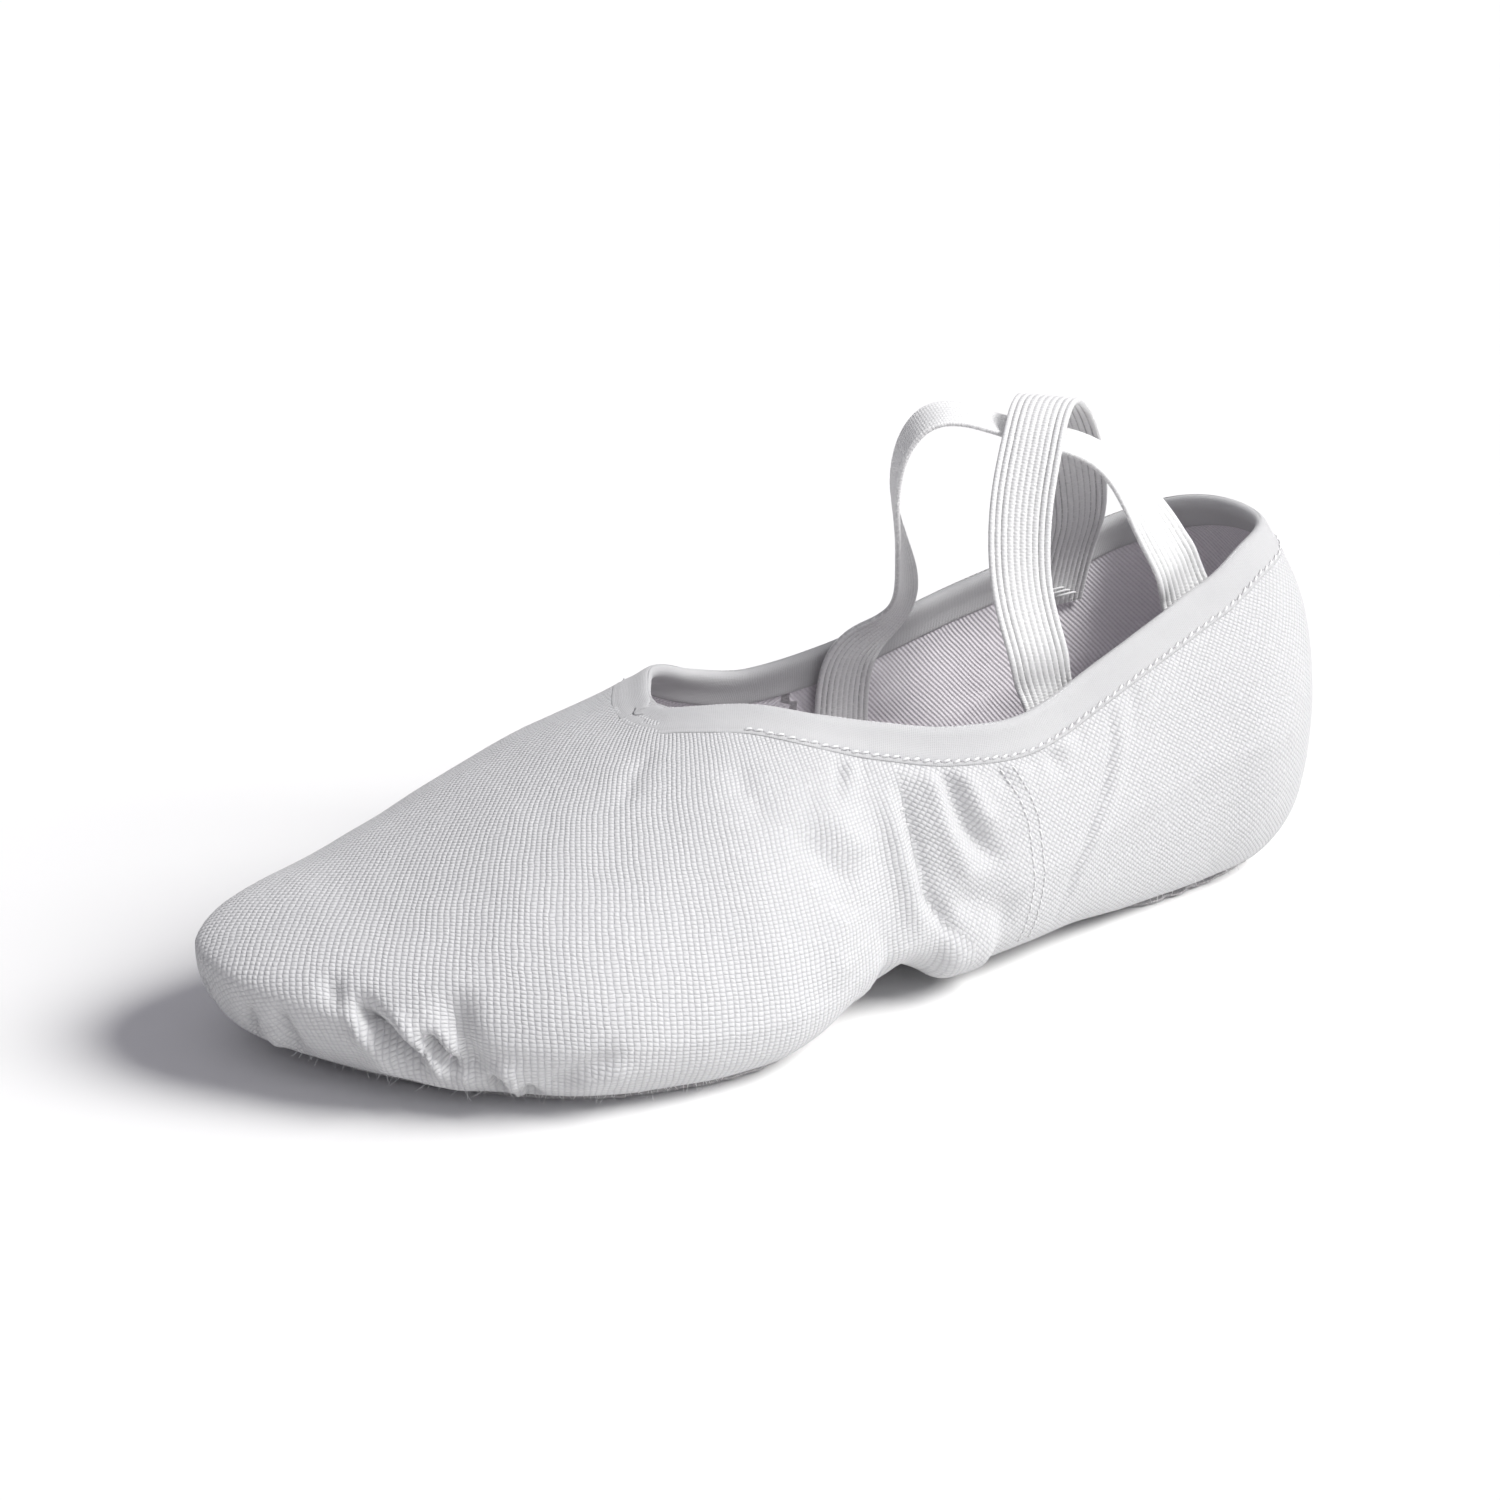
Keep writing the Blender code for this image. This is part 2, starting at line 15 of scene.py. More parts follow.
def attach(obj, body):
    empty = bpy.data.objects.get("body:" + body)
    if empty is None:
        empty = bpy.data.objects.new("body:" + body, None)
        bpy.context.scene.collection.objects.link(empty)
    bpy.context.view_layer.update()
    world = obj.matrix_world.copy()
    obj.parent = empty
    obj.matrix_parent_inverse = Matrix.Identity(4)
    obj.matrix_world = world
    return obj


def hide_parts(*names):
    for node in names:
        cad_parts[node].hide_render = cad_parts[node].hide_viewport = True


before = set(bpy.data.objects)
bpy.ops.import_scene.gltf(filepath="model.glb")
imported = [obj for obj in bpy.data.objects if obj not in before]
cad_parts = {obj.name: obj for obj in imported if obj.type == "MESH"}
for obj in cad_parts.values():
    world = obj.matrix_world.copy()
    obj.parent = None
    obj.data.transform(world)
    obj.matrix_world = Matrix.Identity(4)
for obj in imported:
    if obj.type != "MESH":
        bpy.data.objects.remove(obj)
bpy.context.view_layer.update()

MM = 0.001

# The last's sizes, as the model's source has them.
LENGTH = 250 * MM
BALL_WIDTH = 95 * MM
INSTEP_HEIGHT = 61 * MM
HEEL_HEIGHT = 70 * MM
ARCH_RISE = 6.0 * MM
TOE_SPRING = 5.0 * MM
UPPER_WALL = 1.5 * MM
OUTSOLE_THICKNESS = 1.8 * MM
INSOLE_THICKNESS = 1.2 * MM
BINDING_HEIGHT = 8.0 * MM
ELASTIC_WIDTH = 12.7 * MM
ELASTIC_THICKNESS = 1.2 * MM
CLEARANCE = 0.3 * MM

LATERAL, MEDIAL = 1, -1
HALF_WIDTH = {
    LATERAL: ((0.0, 0.22), (0.12, 0.37), (0.25, 0.51), (0.35, 0.54), (0.44, 0.48), (0.50, 0.425),
              (0.60, 0.405), (0.72, 0.355), (0.85, 0.32), (1.0, 0.30)),
    MEDIAL: ((0.0, 0.42), (0.12, 0.45), (0.26, 0.475), (0.40, 0.40), (0.52, 0.32),
             (0.62, 0.29), (0.74, 0.315), (0.85, 0.325), (1.0, 0.33)),
}
TOE_SHIFT = -18 * MM
TOE_ROUND = 53 * MM
TOE_ROUNDNESS = 2.35
HEEL_ROUND = 34 * MM
HEEL_ROUNDNESS = 2.2
WIDEST_HEIGHT = ((0.0, 0.33), (0.16, 0.26), (0.40, 0.22), (0.60, 0.33), (0.80, 0.50), (1.0, 0.64))
TOP_HEIGHT = ((0.0, 0.44 * INSTEP_HEIGHT), (0.10, 0.52 * INSTEP_HEIGHT), (0.24, 0.75 * INSTEP_HEIGHT),
              (0.38, 0.97 * INSTEP_HEIGHT), (0.52, 1.14 * INSTEP_HEIGHT), (0.68, 1.13 * HEEL_HEIGHT),
              (0.84, 1.20 * HEEL_HEIGHT), (1.0, 1.22 * HEEL_HEIGHT))
TOE_TOP_REACH = 25 * MM
TOE_TOP_ROUNDNESS = 2.2
SECTION_ROUNDNESS = 2.2
RIDGE_SHIFT = -11 * MM
RIDGE_SHIFT_RISE = 40 * MM
COLLAR_ALIGNED = 0.68
THROAT_SPREAD = 0.3
COLLAR_REACH = {
    LATERAL: ((0.380, 0.0), (0.383, 0.07), (0.395, 0.15), (0.43, 0.33), (0.477, 0.57), (0.52, 0.70),
              (0.58, 0.81), (0.66, 0.87), (0.76, 0.845), (0.86, 0.79), (0.93, 0.73), (1.0, 0.70)),
    MEDIAL: ((0.380, 0.0), (0.383, 0.09), (0.395, 0.22), (0.43, 0.52), (0.477, 0.74), (0.53, 0.83),
             (0.58, 0.85), (0.68, 0.865), (0.84, 0.875), (0.92, 0.83), (1.0, 0.70)),
}
TUCK = {
    LATERAL: ((0.0, 12.5), (0.15, 10.5), (0.32, 8.0), (0.44, 12.0), (0.495, 15.0), (0.545, 9.0),
              (0.80, 8.0), (1.0, 14.0)),
    MEDIAL: ((0.0, 12.5), (0.15, 10.0), (0.32, 9.0), (0.44, 10.0), (0.495, 12.0), (0.545, 9.0),
             (0.80, 8.0), (1.0, 14.0)),
}
TUCK_ROUNDNESS = 2.2
ARCH = ((0.455, 0.0), (0.500, 1.0), (0.555, 0.25), (0.68, 0.20), (0.755, 0.0))
MARGIN = 6.5 * MM
FOREFOOT_PAD = (0.030, 0.455)
HEEL_PAD = (0.755, 0.985)
PAD_LAP = 6.0 * MM
PAD_PROUD = 0.8 * MM
PAD_BLUNT = 1.0 * MM
INSOLE_INSET = 2.0 * MM
INSOLE_GAP = 0.6 * MM
INSOLE_BRIDGE = 6.0 * MM
INSOLE_SPAN = (0.045, 0.975)

# How finely things are cut: the skin's columns on one side at the toe, the body and the heel, its rows,
# and the points of its helper lines. The lining takes every LINING_STEPth of the skin's points.
TOE_COLUMNS = 90
BODY_COLUMNS = 160
HEEL_COLUMNS = 60
TUCK_ROWS = 24
WALL_ROWS = 96
UNDER_ROWS = 8
CLIMB_POINTS = 120
GRID_STEPS = 300
CURVE_STEPS = 16
FOLD_POINTS = 40
SEAM_POINTS = 400
LINING_STEP = 2


def smooth_table(points, where):
    """A monotone cubic through the points, read at one place or an array of them."""
    xs, ys = np.array(points, float).T
    steps = np.diff(xs)
    slopes = np.diff(ys) / steps
    tangents = np.zeros(len(xs))
    tangents[0], tangents[-1] = slopes[0], slopes[-1]
    for i in range(1, len(xs) - 1):
        before, after = slopes[i - 1], slopes[i]
        if before * after > 0:
            tangents[i] = 2 * before * after / (before + after)
    where = np.clip(np.asarray(where, float), xs[0], xs[-1])
    k = np.clip(np.searchsorted(xs, where) - 1, 0, len(xs) - 2)
    s = (where - xs[k]) / steps[k]
    rise = steps[k]
    return ((1 + 2 * s) * (1 - s) ** 2 * ys[k] + s * (1 - s) ** 2 * rise * tangents[k]
            + s * s * (3 - 2 * s) * ys[k + 1] + s * s * (s - 1) * rise * tangents[k + 1])


def closure(distance, reach, roundness):
    """Rises from 0 at the end of a form to 1 at reach from it, along a superellipse."""
    rest = np.clip(1 - np.asarray(distance, float) / reach, 0, 1)
    return (1 - rest ** roundness) ** (1 / roundness)


def half_width(t, side):
    return BALL_WIDTH * smooth_table(HALF_WIDTH[side], t / LENGTH)


def centre(t):
    """The middle of the section at t, which swings to the medial side at the toe."""
    middle = (half_width(t, LATERAL) - half_width(t, MEDIAL)) / 2
    swing = np.clip(1 - t / TOE_ROUND, 0, 1) ** 2
    return middle * (1 - swing) + TOE_SHIFT * swing


def section_width(t):
    mean = (half_width(t, LATERAL) + half_width(t, MEDIAL)) / 2
    return mean * closure(t, TOE_ROUND, TOE_ROUNDNESS)


def widest_height(t):
    return INSTEP_HEIGHT * smooth_table(WIDEST_HEIGHT, t / LENGTH)


def crown(t):
    """How far the closed last rises above its widest line at t."""
    rise = smooth_table(TOP_HEIGHT, t / LENGTH) - widest_height(t)
    return rise * closure(t, TOE_TOP_REACH, TOE_TOP_ROUNDNESS)


def underside(t):
    """The height of the canvas underside: on the pads, sprung at the toe and raised behind the pad."""
    seat = OUTSOLE_THICKNESS + CLEARANCE
    spring = TOE_SPRING * np.clip(1 - t / (0.18 * LENGTH), 0, 1) ** 2
    return seat + spring + ARCH_RISE * smooth_table(ARCH, t / LENGTH)


def section_height(t, reach):
    """The height of the last's skin at t where it is reach times as far out as the widest line."""
    across = np.clip(np.abs(reach), 0, 1)
    return widest_height(t) + crown(t) * (1 - across ** SECTION_ROUNDNESS) ** (1 / SECTION_ROUNDNESS)


def collar_height(t, side):
    return section_height(t, smooth_table(COLLAR_REACH[side], t / LENGTH))


def ridge_shift(rise, t):
    """The ridge of the instep lies to the medial side of the middle."""
    full = np.clip(crown(t) / RIDGE_SHIFT_RISE, 0, 1)
    return RIDGE_SHIFT * full * rise / np.maximum(crown(t), 1e-6)


def column_places():
    """Each column of one side: its place t along the body, or its angle round the heel."""
    heel_start = LENGTH - HEEL_ROUND
    bend = 0.5 * math.pi * np.arange(TOE_COLUMNS) / TOE_COLUMNS
    toe = TOE_ROUND * (1 - np.cos(bend))
    body = np.linspace(TOE_ROUND, heel_start, BODY_COLUMNS, endpoint=False)
    angle = np.linspace(0, 0.5 * math.pi, HEEL_COLUMNS + 1)
    places = [(t, 0.0) for t in np.concatenate([toe, body])]
    return places + [(heel_start, a) for a in angle]


def widest_point(t, angle, side):
    """The plan point of the widest line."""
    radius_x = section_width(t)
    if angle == 0.0:
        return np.array([centre(t) + side * radius_x, t])
    turn = 2 / HEEL_ROUNDNESS
    return np.array([centre(t) + side * radius_x * max(math.cos(angle), 0.0) ** turn,
                     t + HEEL_ROUND * math.sin(angle) ** turn])


def ring():
    """The columns all round: toe, lateral side, heel, medial side."""
    places = column_places()
    around = [(t, a, LATERAL) for t, a in places] + [(t, a, MEDIAL) for t, a in places[-2:0:-1]]
    widest = np.array([widest_point(*column) for column in around])
    chord = unit(np.roll(widest, -1, 0) - np.roll(widest, 1, 0))
    return around, widest, np.stack([-chord[:, 1], chord[:, 0]], 1)


def lengths_along(points):
    """How far along a polyline each of its points lies."""
    return np.concatenate([[0], np.cumsum(np.linalg.norm(np.diff(points, axis=0), axis=1))])


def unit(vectors):
    return vectors / np.linalg.norm(vectors, axis=-1, keepdims=True)


def resample(points, lengths):
    """Points at the given lengths along a polyline."""
    reach = lengths_along(points)
    return np.stack([np.interp(lengths, reach, points[:, i]) for i in range(points.shape[1])], 1)


def arc_length(points):
    return lengths_along(points)[-1]


def collar_ends(side, outline):
    """Where each column of one side meets the collar's edge: even at the throat, square further back."""
    throat = COLLAR_REACH[side][0][0]
    t = LENGTH * (throat + (COLLAR_ALIGNED - throat) * np.linspace(0, 1, 400) ** 2)
    x = centre(t) + side * section_width(t) * smooth_table(COLLAR_REACH[side], t / LENGTH)
    along = lengths_along(np.column_stack([t, x]))
    around = lengths_along(outline)
    total = np.interp(COLLAR_ALIGNED * LENGTH, outline[:, 1], around)
    share = np.clip(around / total, 0, 1)
    power = (total / along[-1] - THROAT_SPREAD) / (1 - THROAT_SPREAD)
    place = along[-1] * (THROAT_SPREAD * share + (1 - THROAT_SPREAD) * share ** power)
    return np.stack([np.interp(place, along, t), np.interp(place, along, x)], 1)


def climb(t, angle, side, widest, end):
    """The column from the widest line to the collar's edge, as a dense polyline."""
    rise = np.linspace(0, 1, CLIMB_POINTS)
    if angle > 0.0 or t > COLLAR_ALIGNED * LENGTH:
        low, high = widest_height(t), collar_height(widest[1], side)
        z = low + (high - low) * rise
        inset = (1 - ((z - low) / crown(t)) ** SECTION_ROUNDNESS) ** (1 / SECTION_ROUNDNESS)
        axis = np.array([centre(t), t])
        plan = axis + (widest - axis) * inset[:, None]
        plan[:, 0] += ridge_shift(z - low, t) * math.cos(angle) ** 2
        return np.column_stack([plan, z])
    s = rise ** 2.4
    t_path = t + (end[0] - t) * s
    x_path = widest[0] + (end[1] - widest[0]) * s
    z_path = section_height(t_path, (x_path - centre(t_path)) / np.maximum(section_width(t_path), 1e-6))
    shift = ridge_shift(z_path - widest_height(t_path), t_path)
    return np.column_stack([x_path + shift, t_path, z_path])


def tuck(t, side, widest, inward, turns):
    """The column from the widest line down and under to the feather edge."""
    reach = smooth_table(TUCK[side], widest[1] / LENGTH) * MM
    low = underside(widest[1] + inward[1] * reach)
    high = widest_height(t)
    angle = 0.5 * math.pi * np.asarray(turns)
    power = 2 / TUCK_ROUNDNESS
    plan = widest + np.outer(reach * (1 - np.cos(angle) ** power), inward)
    return np.column_stack([plan, high - (high - low) * np.sin(angle) ** power])


def floor_point(widest, inward, side, inset):
    """A point of the underside, inset from the feather edge."""
    reach = smooth_table(TUCK[side], widest[1] / LENGTH) * MM + inset
    plan = widest + inward * reach
    return np.array([plan[0], plan[1], underside(plan[1])])


class Last:
    """The skin of the last: one column of points for each place round the ring, from the feather edge up."""

    def __init__(self):
        self.around, self.widest, self.inward = ring()
        half = len(column_places())
        self.count = len(self.around)
        self.middle = np.append((self.widest.min(0) + self.widest.max(0)) / 2, 0.0)
        self.place = lengths_along(np.vstack([self.widest, self.widest[:1]]))
        self.girth = self.place[-1]
        ends = {LATERAL: collar_ends(LATERAL, self.widest[:half]),
                MEDIAL: collar_ends(MEDIAL, np.vstack([self.widest[:1], self.widest[:half - 2:-1]]))}
        turns = np.linspace(1, 0, 3 * TUCK_ROWS + 1)
        self.paths = []
        for i, (t, angle, side) in enumerate(self.around):
            end = ends[side][i if i < half else self.count - i]
            low = tuck(t, side, self.widest[i], self.inward[i], turns)
            self.paths.append(np.vstack([low[:-1], climb(t, angle, side, self.widest[i], end)]) - self.middle)
        self.lengths = np.array([arc_length(path) for path in self.paths])
        self.grid = np.array([resample(path, length * np.linspace(0, 1, GRID_STEPS + 1))
                              for path, length in zip(self.paths, self.lengths)])

    def columns(self, side, around):
        """The two ring columns beside a place that far round one side from the toe, with their shares."""
        place = around * MM if side == LATERAL else self.girth - around * MM
        at = float(np.interp(place, self.place, np.arange(self.count + 1)))
        low, share = int(at) % self.count, at - int(at)
        return (low, 1 - share), ((low + 1) % self.count, share)

    def point(self, side, around, up):
        """The point of the skin at (around, up)."""
        point = np.zeros(3)
        for k, weight in self.columns(side, around):
            place = np.clip(up * MM / self.lengths[k], 0, 1) * GRID_STEPS
            j = min(int(place), GRID_STEPS - 1)
            point += weight * (self.grid[k, j] * (1 - place + j) + self.grid[k, j + 1] * (place - j))
        return point


# Folds of the canvas on each side. Each has a half width and a height in millimetres (below nothing is a
# trough), how it fades (EDGE: full at its first point, MID: away from both ends) and its line.
EDGE, MID = "edge", "mid"
FOLDS = {
    LATERAL: (
        # Pleats where the toe is gathered under the sole.
        (1.8, -1.6, MID, ((27.5, 31.5), (30.5, 27), (33, 23.5), (36.5, 17))),
        (1.9, -5.2, MID, ((51.5, 11.5), (48.5, 15), (44.5, 18.5), (39.5, 22.5), (34, 28))),
        (1.4, -4.4, MID, ((57.5, 11.5), (55, 15), (52, 18), (49, 22))),
        (3.2, -3.2, MID, ((61.5, 10), (59, 15.5), (57, 23), (53.5, 32))),
        (1.2, -4, MID, ((66.5, 6), (65, 9), (63, 13.5))),
        (1.1, -3.2, MID, ((72, 5), (70.5, 7.5), (69, 11))),
        (2.2, 1.8, MID, ((45.5, 10), (40.5, 16), (35.5, 20.5), (30, 26))),
        (1.7, 2.2, MID, ((54.5, 9), (52, 15), (47.5, 20), (42, 26))),
        (1.7, 2, MID, ((59.5, 8), (57, 14), (53.5, 22))),
        (2, 1.8, MID, ((69.5, 5), (67, 10), (64.5, 17))),
        (1.8, 1, MID, ((34, 13.5), (44, 11), (54, 9), (64, 7))),
        (2.6, -1.4, MID, ((72, 8.5), (75.5, 11.5), (81, 14.5), (86, 17), (90, 18))),
        (3, 0.8, MID, ((78, 9), (84, 12.5), (91, 14))),
        (1.6, -2.4, MID, ((23, 7), (21.5, 14), (19, 22))),
        (1.5, -2, MID, ((11, 8), (11.5, 14), (13, 20))),
        (2.2, 1, MID, ((17, 8), (16.5, 15))),
        # The waist, where the forefoot folds under behind its pad.
        (7, -2.2, EDGE, ((147, 6), (148.5, 15), (148, 26))),
        (2.6, -2.8, EDGE, ((154.5, 7), (156, 16), (155.5, 24.5), (149, 34))),
        (5, 1.3, MID, ((140, 18), (139, 28), (143, 37))),
        (4, -1.4, MID, ((148, 37), (138, 45), (126, 55))),
        (4.5, 1.2, MID, ((152, 42), (143, 50), (133, 60))),
        # The fold of the forefoot over the front of the side panel, and the slack beside it.
        (1.6, -2.2, MID, ((159, 58), (161, 52.5), (163, 43.5), (165, 35.5), (167, 25), (171, 17.5),
                          (178, 12))),
        (2.6, 1.6, MID, ((156, 57), (159, 44), (161, 35), (163, 25), (166, 15))),
        (2.2, -2.6, MID, ((172.5, 56), (174, 49), (175.5, 43.5), (178, 37), (182.5, 31), (188, 26))),
        (3, 2, MID, ((168, 56), (170, 47), (172, 38), (176, 29), (181, 22))),
        (2.4, 1.3, MID, ((178, 54), (179, 46), (182, 39), (186.5, 33))),
        (8, 2.6, MID, ((168, 9), (176, 10), (186, 9))),
        (4.5, -1.6, MID, ((172, 24), (181, 20), (190, 13))),
        # Gathers under the binding.
        (1.5, -1.7, EDGE, ((187.5, 50.5), (188.5, 45), (191, 38))),
        (2, 0.9, EDGE, ((192, 50), (193, 45), (195, 39))),
        (1.6, -1.5, EDGE, ((196.5, 51), (197, 46), (198.5, 40))),
        (2, -2.2, EDGE, ((200, 51), (202, 46.5), (206, 38))),
        (2.6, 1.5, EDGE, ((205, 52), (206, 47), (207.5, 41))),
        (1.5, -1.2, EDGE, ((210, 53), (210.5, 47), (211, 42))),
        (1.3, -1, EDGE, ((226.5, 56), (225.5, 50), (224, 44))),
        (1.2, -0.8, EDGE, ((232, 58), (231, 52))),
        (1.4, -1.2, EDGE, ((143, 67), (142, 60), (138, 52))),
        (2, 0.8, EDGE, ((146.5, 66), (145, 58), (141, 50))),
        (1.3, -1, EDGE, ((150, 64), (149.5, 57))),
        # The seam between side panel and heel panel.
        (0.8, -0.9, MID, ((220, 60), (219.5, 51), (218.5, 43.5), (214, 34), (210, 28), (205, 19.5),
                          (202, 10), (199.5, 0))),
        (1.8, 0.7, MID, ((223, 56), (222, 50), (221, 43.5), (217, 34), (213, 28), (207.5, 19.5),
                         (204.5, 10))),
        # The throat, where the tape draws the canvas in.
        (2.4, -0.6, MID, ((60, 96), (66, 84), (70, 74))),
        (3, -0.7, MID, ((104, 78), (112, 66), (122, 56))),
    ),
    MEDIAL: (
        # Pleats where the toe is gathered under the sole.
        (1.4, -2.2, MID, ((3, 7), (4, 14), (4.5, 20))),
        (1.8, -2.8, MID, ((13, 6), (15, 15), (18.5, 24))),
        (1.5, -2.4, MID, ((24, 6), (26, 14), (28.5, 20))),
        (1.9, -3.2, MID, ((33.5, 5), (36, 14), (40, 24))),
        (1.5, -2.4, MID, ((44, 5), (46.5, 13), (50, 19))),
        (2.2, 1.5, MID, ((39, 6), (41.5, 14), (45, 22))),
        (2.2, 1.2, MID, ((19, 7), (21, 14), (24, 21))),
        (1.6, -2, MID, ((54.5, 5), (57, 13))),
        # The side and its panels, the waist, the gathers and the slack beside the throat.
        (1.5, -1, MID, ((152, 62), (154, 50), (157, 38), (160, 26), (165, 16))),
        (2.6, 0.7, MID, ((148.5, 60), (150.5, 50), (153.5, 38), (157, 26))),
        (5, -1.2, MID, ((172, 50), (178, 40), (181, 30))),
        (6, 0.9, MID, ((162, 46), (168, 36), (172, 26))),
        (0.9, -0.6, MID, ((212, 58), (211, 46), (207, 34), (202, 22), (197, 10))),
        (6, -1.4, EDGE, ((146, 6), (147, 15), (147, 24))),
        (7, 1.6, MID, ((162, 9), (172, 10), (182, 9))),
        (1.6, -0.7, EDGE, ((188, 54), (189, 48), (192, 42))),
        (1.6, -0.7, EDGE, ((200, 55), (200, 49))),
        (2.2, -1.2, MID, ((118, 64), (128, 56), (138, 46))),
        (2.6, 1.2, MID, ((124, 66), (134, 58), (143, 46))),
        (2.4, -1.1, MID, ((136, 64), (142, 54), (146, 42))),
    ),
}

# Rows of stitches on the skin: side, spacing between its two rows, stitch pitch, and the line.
SEAMS = (
    (LATERAL, 2.8, 2.5, ((188.5, 46.5), (192, 39.5), (193.5, 34), (193.5, 28), (193.5, 21.5), (192.5, 13),
                         (192, 6))),
    (MEDIAL, 3, 2.5, ((186, 52), (184, 40), (181, 28), (178, 16), (176.5, 7))),
)
PANEL_EDGE = {
    LATERAL: ((0, 176), (12, 177), (17.5, 171), (25, 167), (36.5, 165), (43.5, 163),
              (52.5, 161), (70, 157)),
    MEDIAL: ((0, 172), (16, 165), (26, 160), (38, 157), (50, 154), (70, 151)),
}

# The cloth is laid flat at every fourth column and row, enlarged for the unwrap's sake. The front pattern
# runs round to FRONT_END, the back one starts at BACK_START, and both go PATTERN_LAP further.
PATTERN_STEP = 4
UNWRAP_SCALE = 10
PATTERN_LAP = 18.0
FRONT_END = 176.0
BACK_START = 160.0
WALL_CLEAR = 1.35 * MM
TAPE_CALM = 3.5 * MM
WAIST_FADE = 14 * MM
UNDER_LAP = 4 * MM


def smoothstep(x):
    x = np.clip(x, 0, 1)
    return x * x * (3 - 2 * x)


def fold_relief(last, points):
    """How far each point of the skin is pushed out by the folds, in metres."""
    flat = points.reshape(-1, 3)
    total = np.zeros(len(flat))
    for side, (width, height, fade, line) in ((side, fold) for side in FOLDS for fold in FOLDS[side]):
        path = np.array([last.point(side, *place) for place in line])
        path = resample(path, np.linspace(0, arc_length(path), FOLD_POINTS))
        reach = 3 * width * MM
        near = np.all((flat > path.min(0) - reach) & (flat < path.max(0) + reach), axis=1)
        gap = np.linalg.norm(flat[near][:, None] - path[None], axis=2)
        share = gap.argmin(1) / (FOLD_POINTS - 1)
        if fade == EDGE:
            strength = 1 - smoothstep(share)
        else:
            strength = smoothstep(share / 0.3) * smoothstep((1 - share) / 0.3)
        total[near] += height * MM * strength * np.exp(-(gap.min(1) / (width * MM)) ** 1.7)
    return total.reshape(points.shape[:2])


def slack(points):
    """The soft unevenness of cloth with nothing inside it, in metres."""
    def unevenness(p):
        at = Vector(p)
        return 0.45 * noise.noise(at * 32) + 0.22 * noise.noise(at * 90 + Vector((5, 1, 3)))
    return np.array([[unevenness(p) for p in column] for column in points]) * MM


def grid_normals(points):
    """Outward normals of the ring's grid."""
    round_ring = np.roll(points, -1, 0) - np.roll(points, 1, 0)
    upward = np.gradient(points, axis=1)
    normals = np.cross(round_ring, upward)
    size = np.linalg.norm(normals, axis=2, keepdims=True)
    return normals / np.maximum(size, 1e-12)


def new_object(name, mesh, material=None):
    obj = bpy.data.objects.new(name, mesh)
    bpy.context.scene.collection.objects.link(obj)
    if material:
        mesh.materials.append(material)
    return obj


def grid_mesh(name, points, closed_round, uv=None, closed_across=False, choice=None):
    """A mesh of quads through a grid of points, wound outward for the ring's order. uv has each point's
    place in the weave, or two such grids, and choice then says which of them a face takes."""
    n, m = points.shape[:2]
    index = np.arange(n * m).reshape(n, m)
    if closed_round:
        index = np.vstack([index, index[:1]])
    if closed_across:
        index = np.hstack([index, index[:, :1]])
    quads = np.stack([index[:-1, :-1], index[1:, :-1], index[1:, 1:], index[:-1, 1:]], 2).reshape(-1, 4)
    mesh = bpy.data.meshes.new(name)
    mesh.from_pydata(points.reshape(-1, 3).tolist(), [], quads.tolist())
    if uv is not None:
        pick = np.zeros(n * m, int) if choice is None else choice.reshape(-1).astype(int)
        corners = uv.reshape(-1, n * m, 2)[pick[quads[:, 0]][:, None], quads]
        layer = mesh.uv_layers.new(name="weave")
        layer.uv.foreach_set("vector", corners.astype(np.float32).ravel())
    mesh.shade_smooth()
    return mesh


def close_mesh(mesh, caps=()):
    """Adds the faces that close a mesh, given by their points' numbers, and turns all faces outward."""
    form = bmesh.new()
    form.from_mesh(mesh)
    form.verts.ensure_lookup_table()
    for cap in caps:
        form.faces.new([form.verts[k] for k in cap])
    bmesh.ops.recalc_face_normals(form, faces=form.faces)
    form.to_mesh(mesh)
    form.free()
    mesh.shade_smooth()


def flat_pattern(points, spine):
    """The cut shape of a patch of the skin, laid flat with the least stretch: a grid of (u, v) in
    millimetres, with the patch's spine column running up v."""
    mesh = grid_mesh("pattern", points * UNWRAP_SCALE, False)
    obj = new_object("pattern", mesh)
    mesh.uv_layers.new(name="flat")
    for other in bpy.context.selected_objects:
        other.select_set(False)
    bpy.context.view_layer.objects.active = obj
    obj.select_set(True)
    bpy.ops.object.mode_set(mode="EDIT")
    bpy.ops.mesh.select_all(action="SELECT")
    bpy.ops.uv.unwrap(method="MINIMUM_STRETCH", margin=0.0)
    bpy.ops.object.mode_set(mode="OBJECT")
    corners = np.empty(len(mesh.loops) * 2, np.float32)
    mesh.uv_layers["flat"].uv.foreach_get("vector", corners)
    vertex = np.empty(len(mesh.loops), np.int32)
    mesh.loops.foreach_get("vertex_index", vertex)
    flat = np.zeros((len(mesh.vertices), 2))
    flat[vertex] = corners.reshape(-1, 2)
    flat = flat.reshape(points.shape[0], points.shape[1], 2)
    bpy.data.objects.remove(obj)
    bpy.data.meshes.remove(mesh)
    true_size = np.linalg.norm(np.diff(points, axis=1), axis=2).sum()
    flat *= true_size / np.linalg.norm(np.diff(flat, axis=1), axis=2).sum() / MM
    up = flat[spine, -1] - flat[spine, 0]
    turn = math.pi / 2 - math.atan2(up[1], up[0])
    rotate = np.array([[math.cos(turn), -math.sin(turn)], [math.sin(turn), math.cos(turn)]])
    return flat @ rotate.T


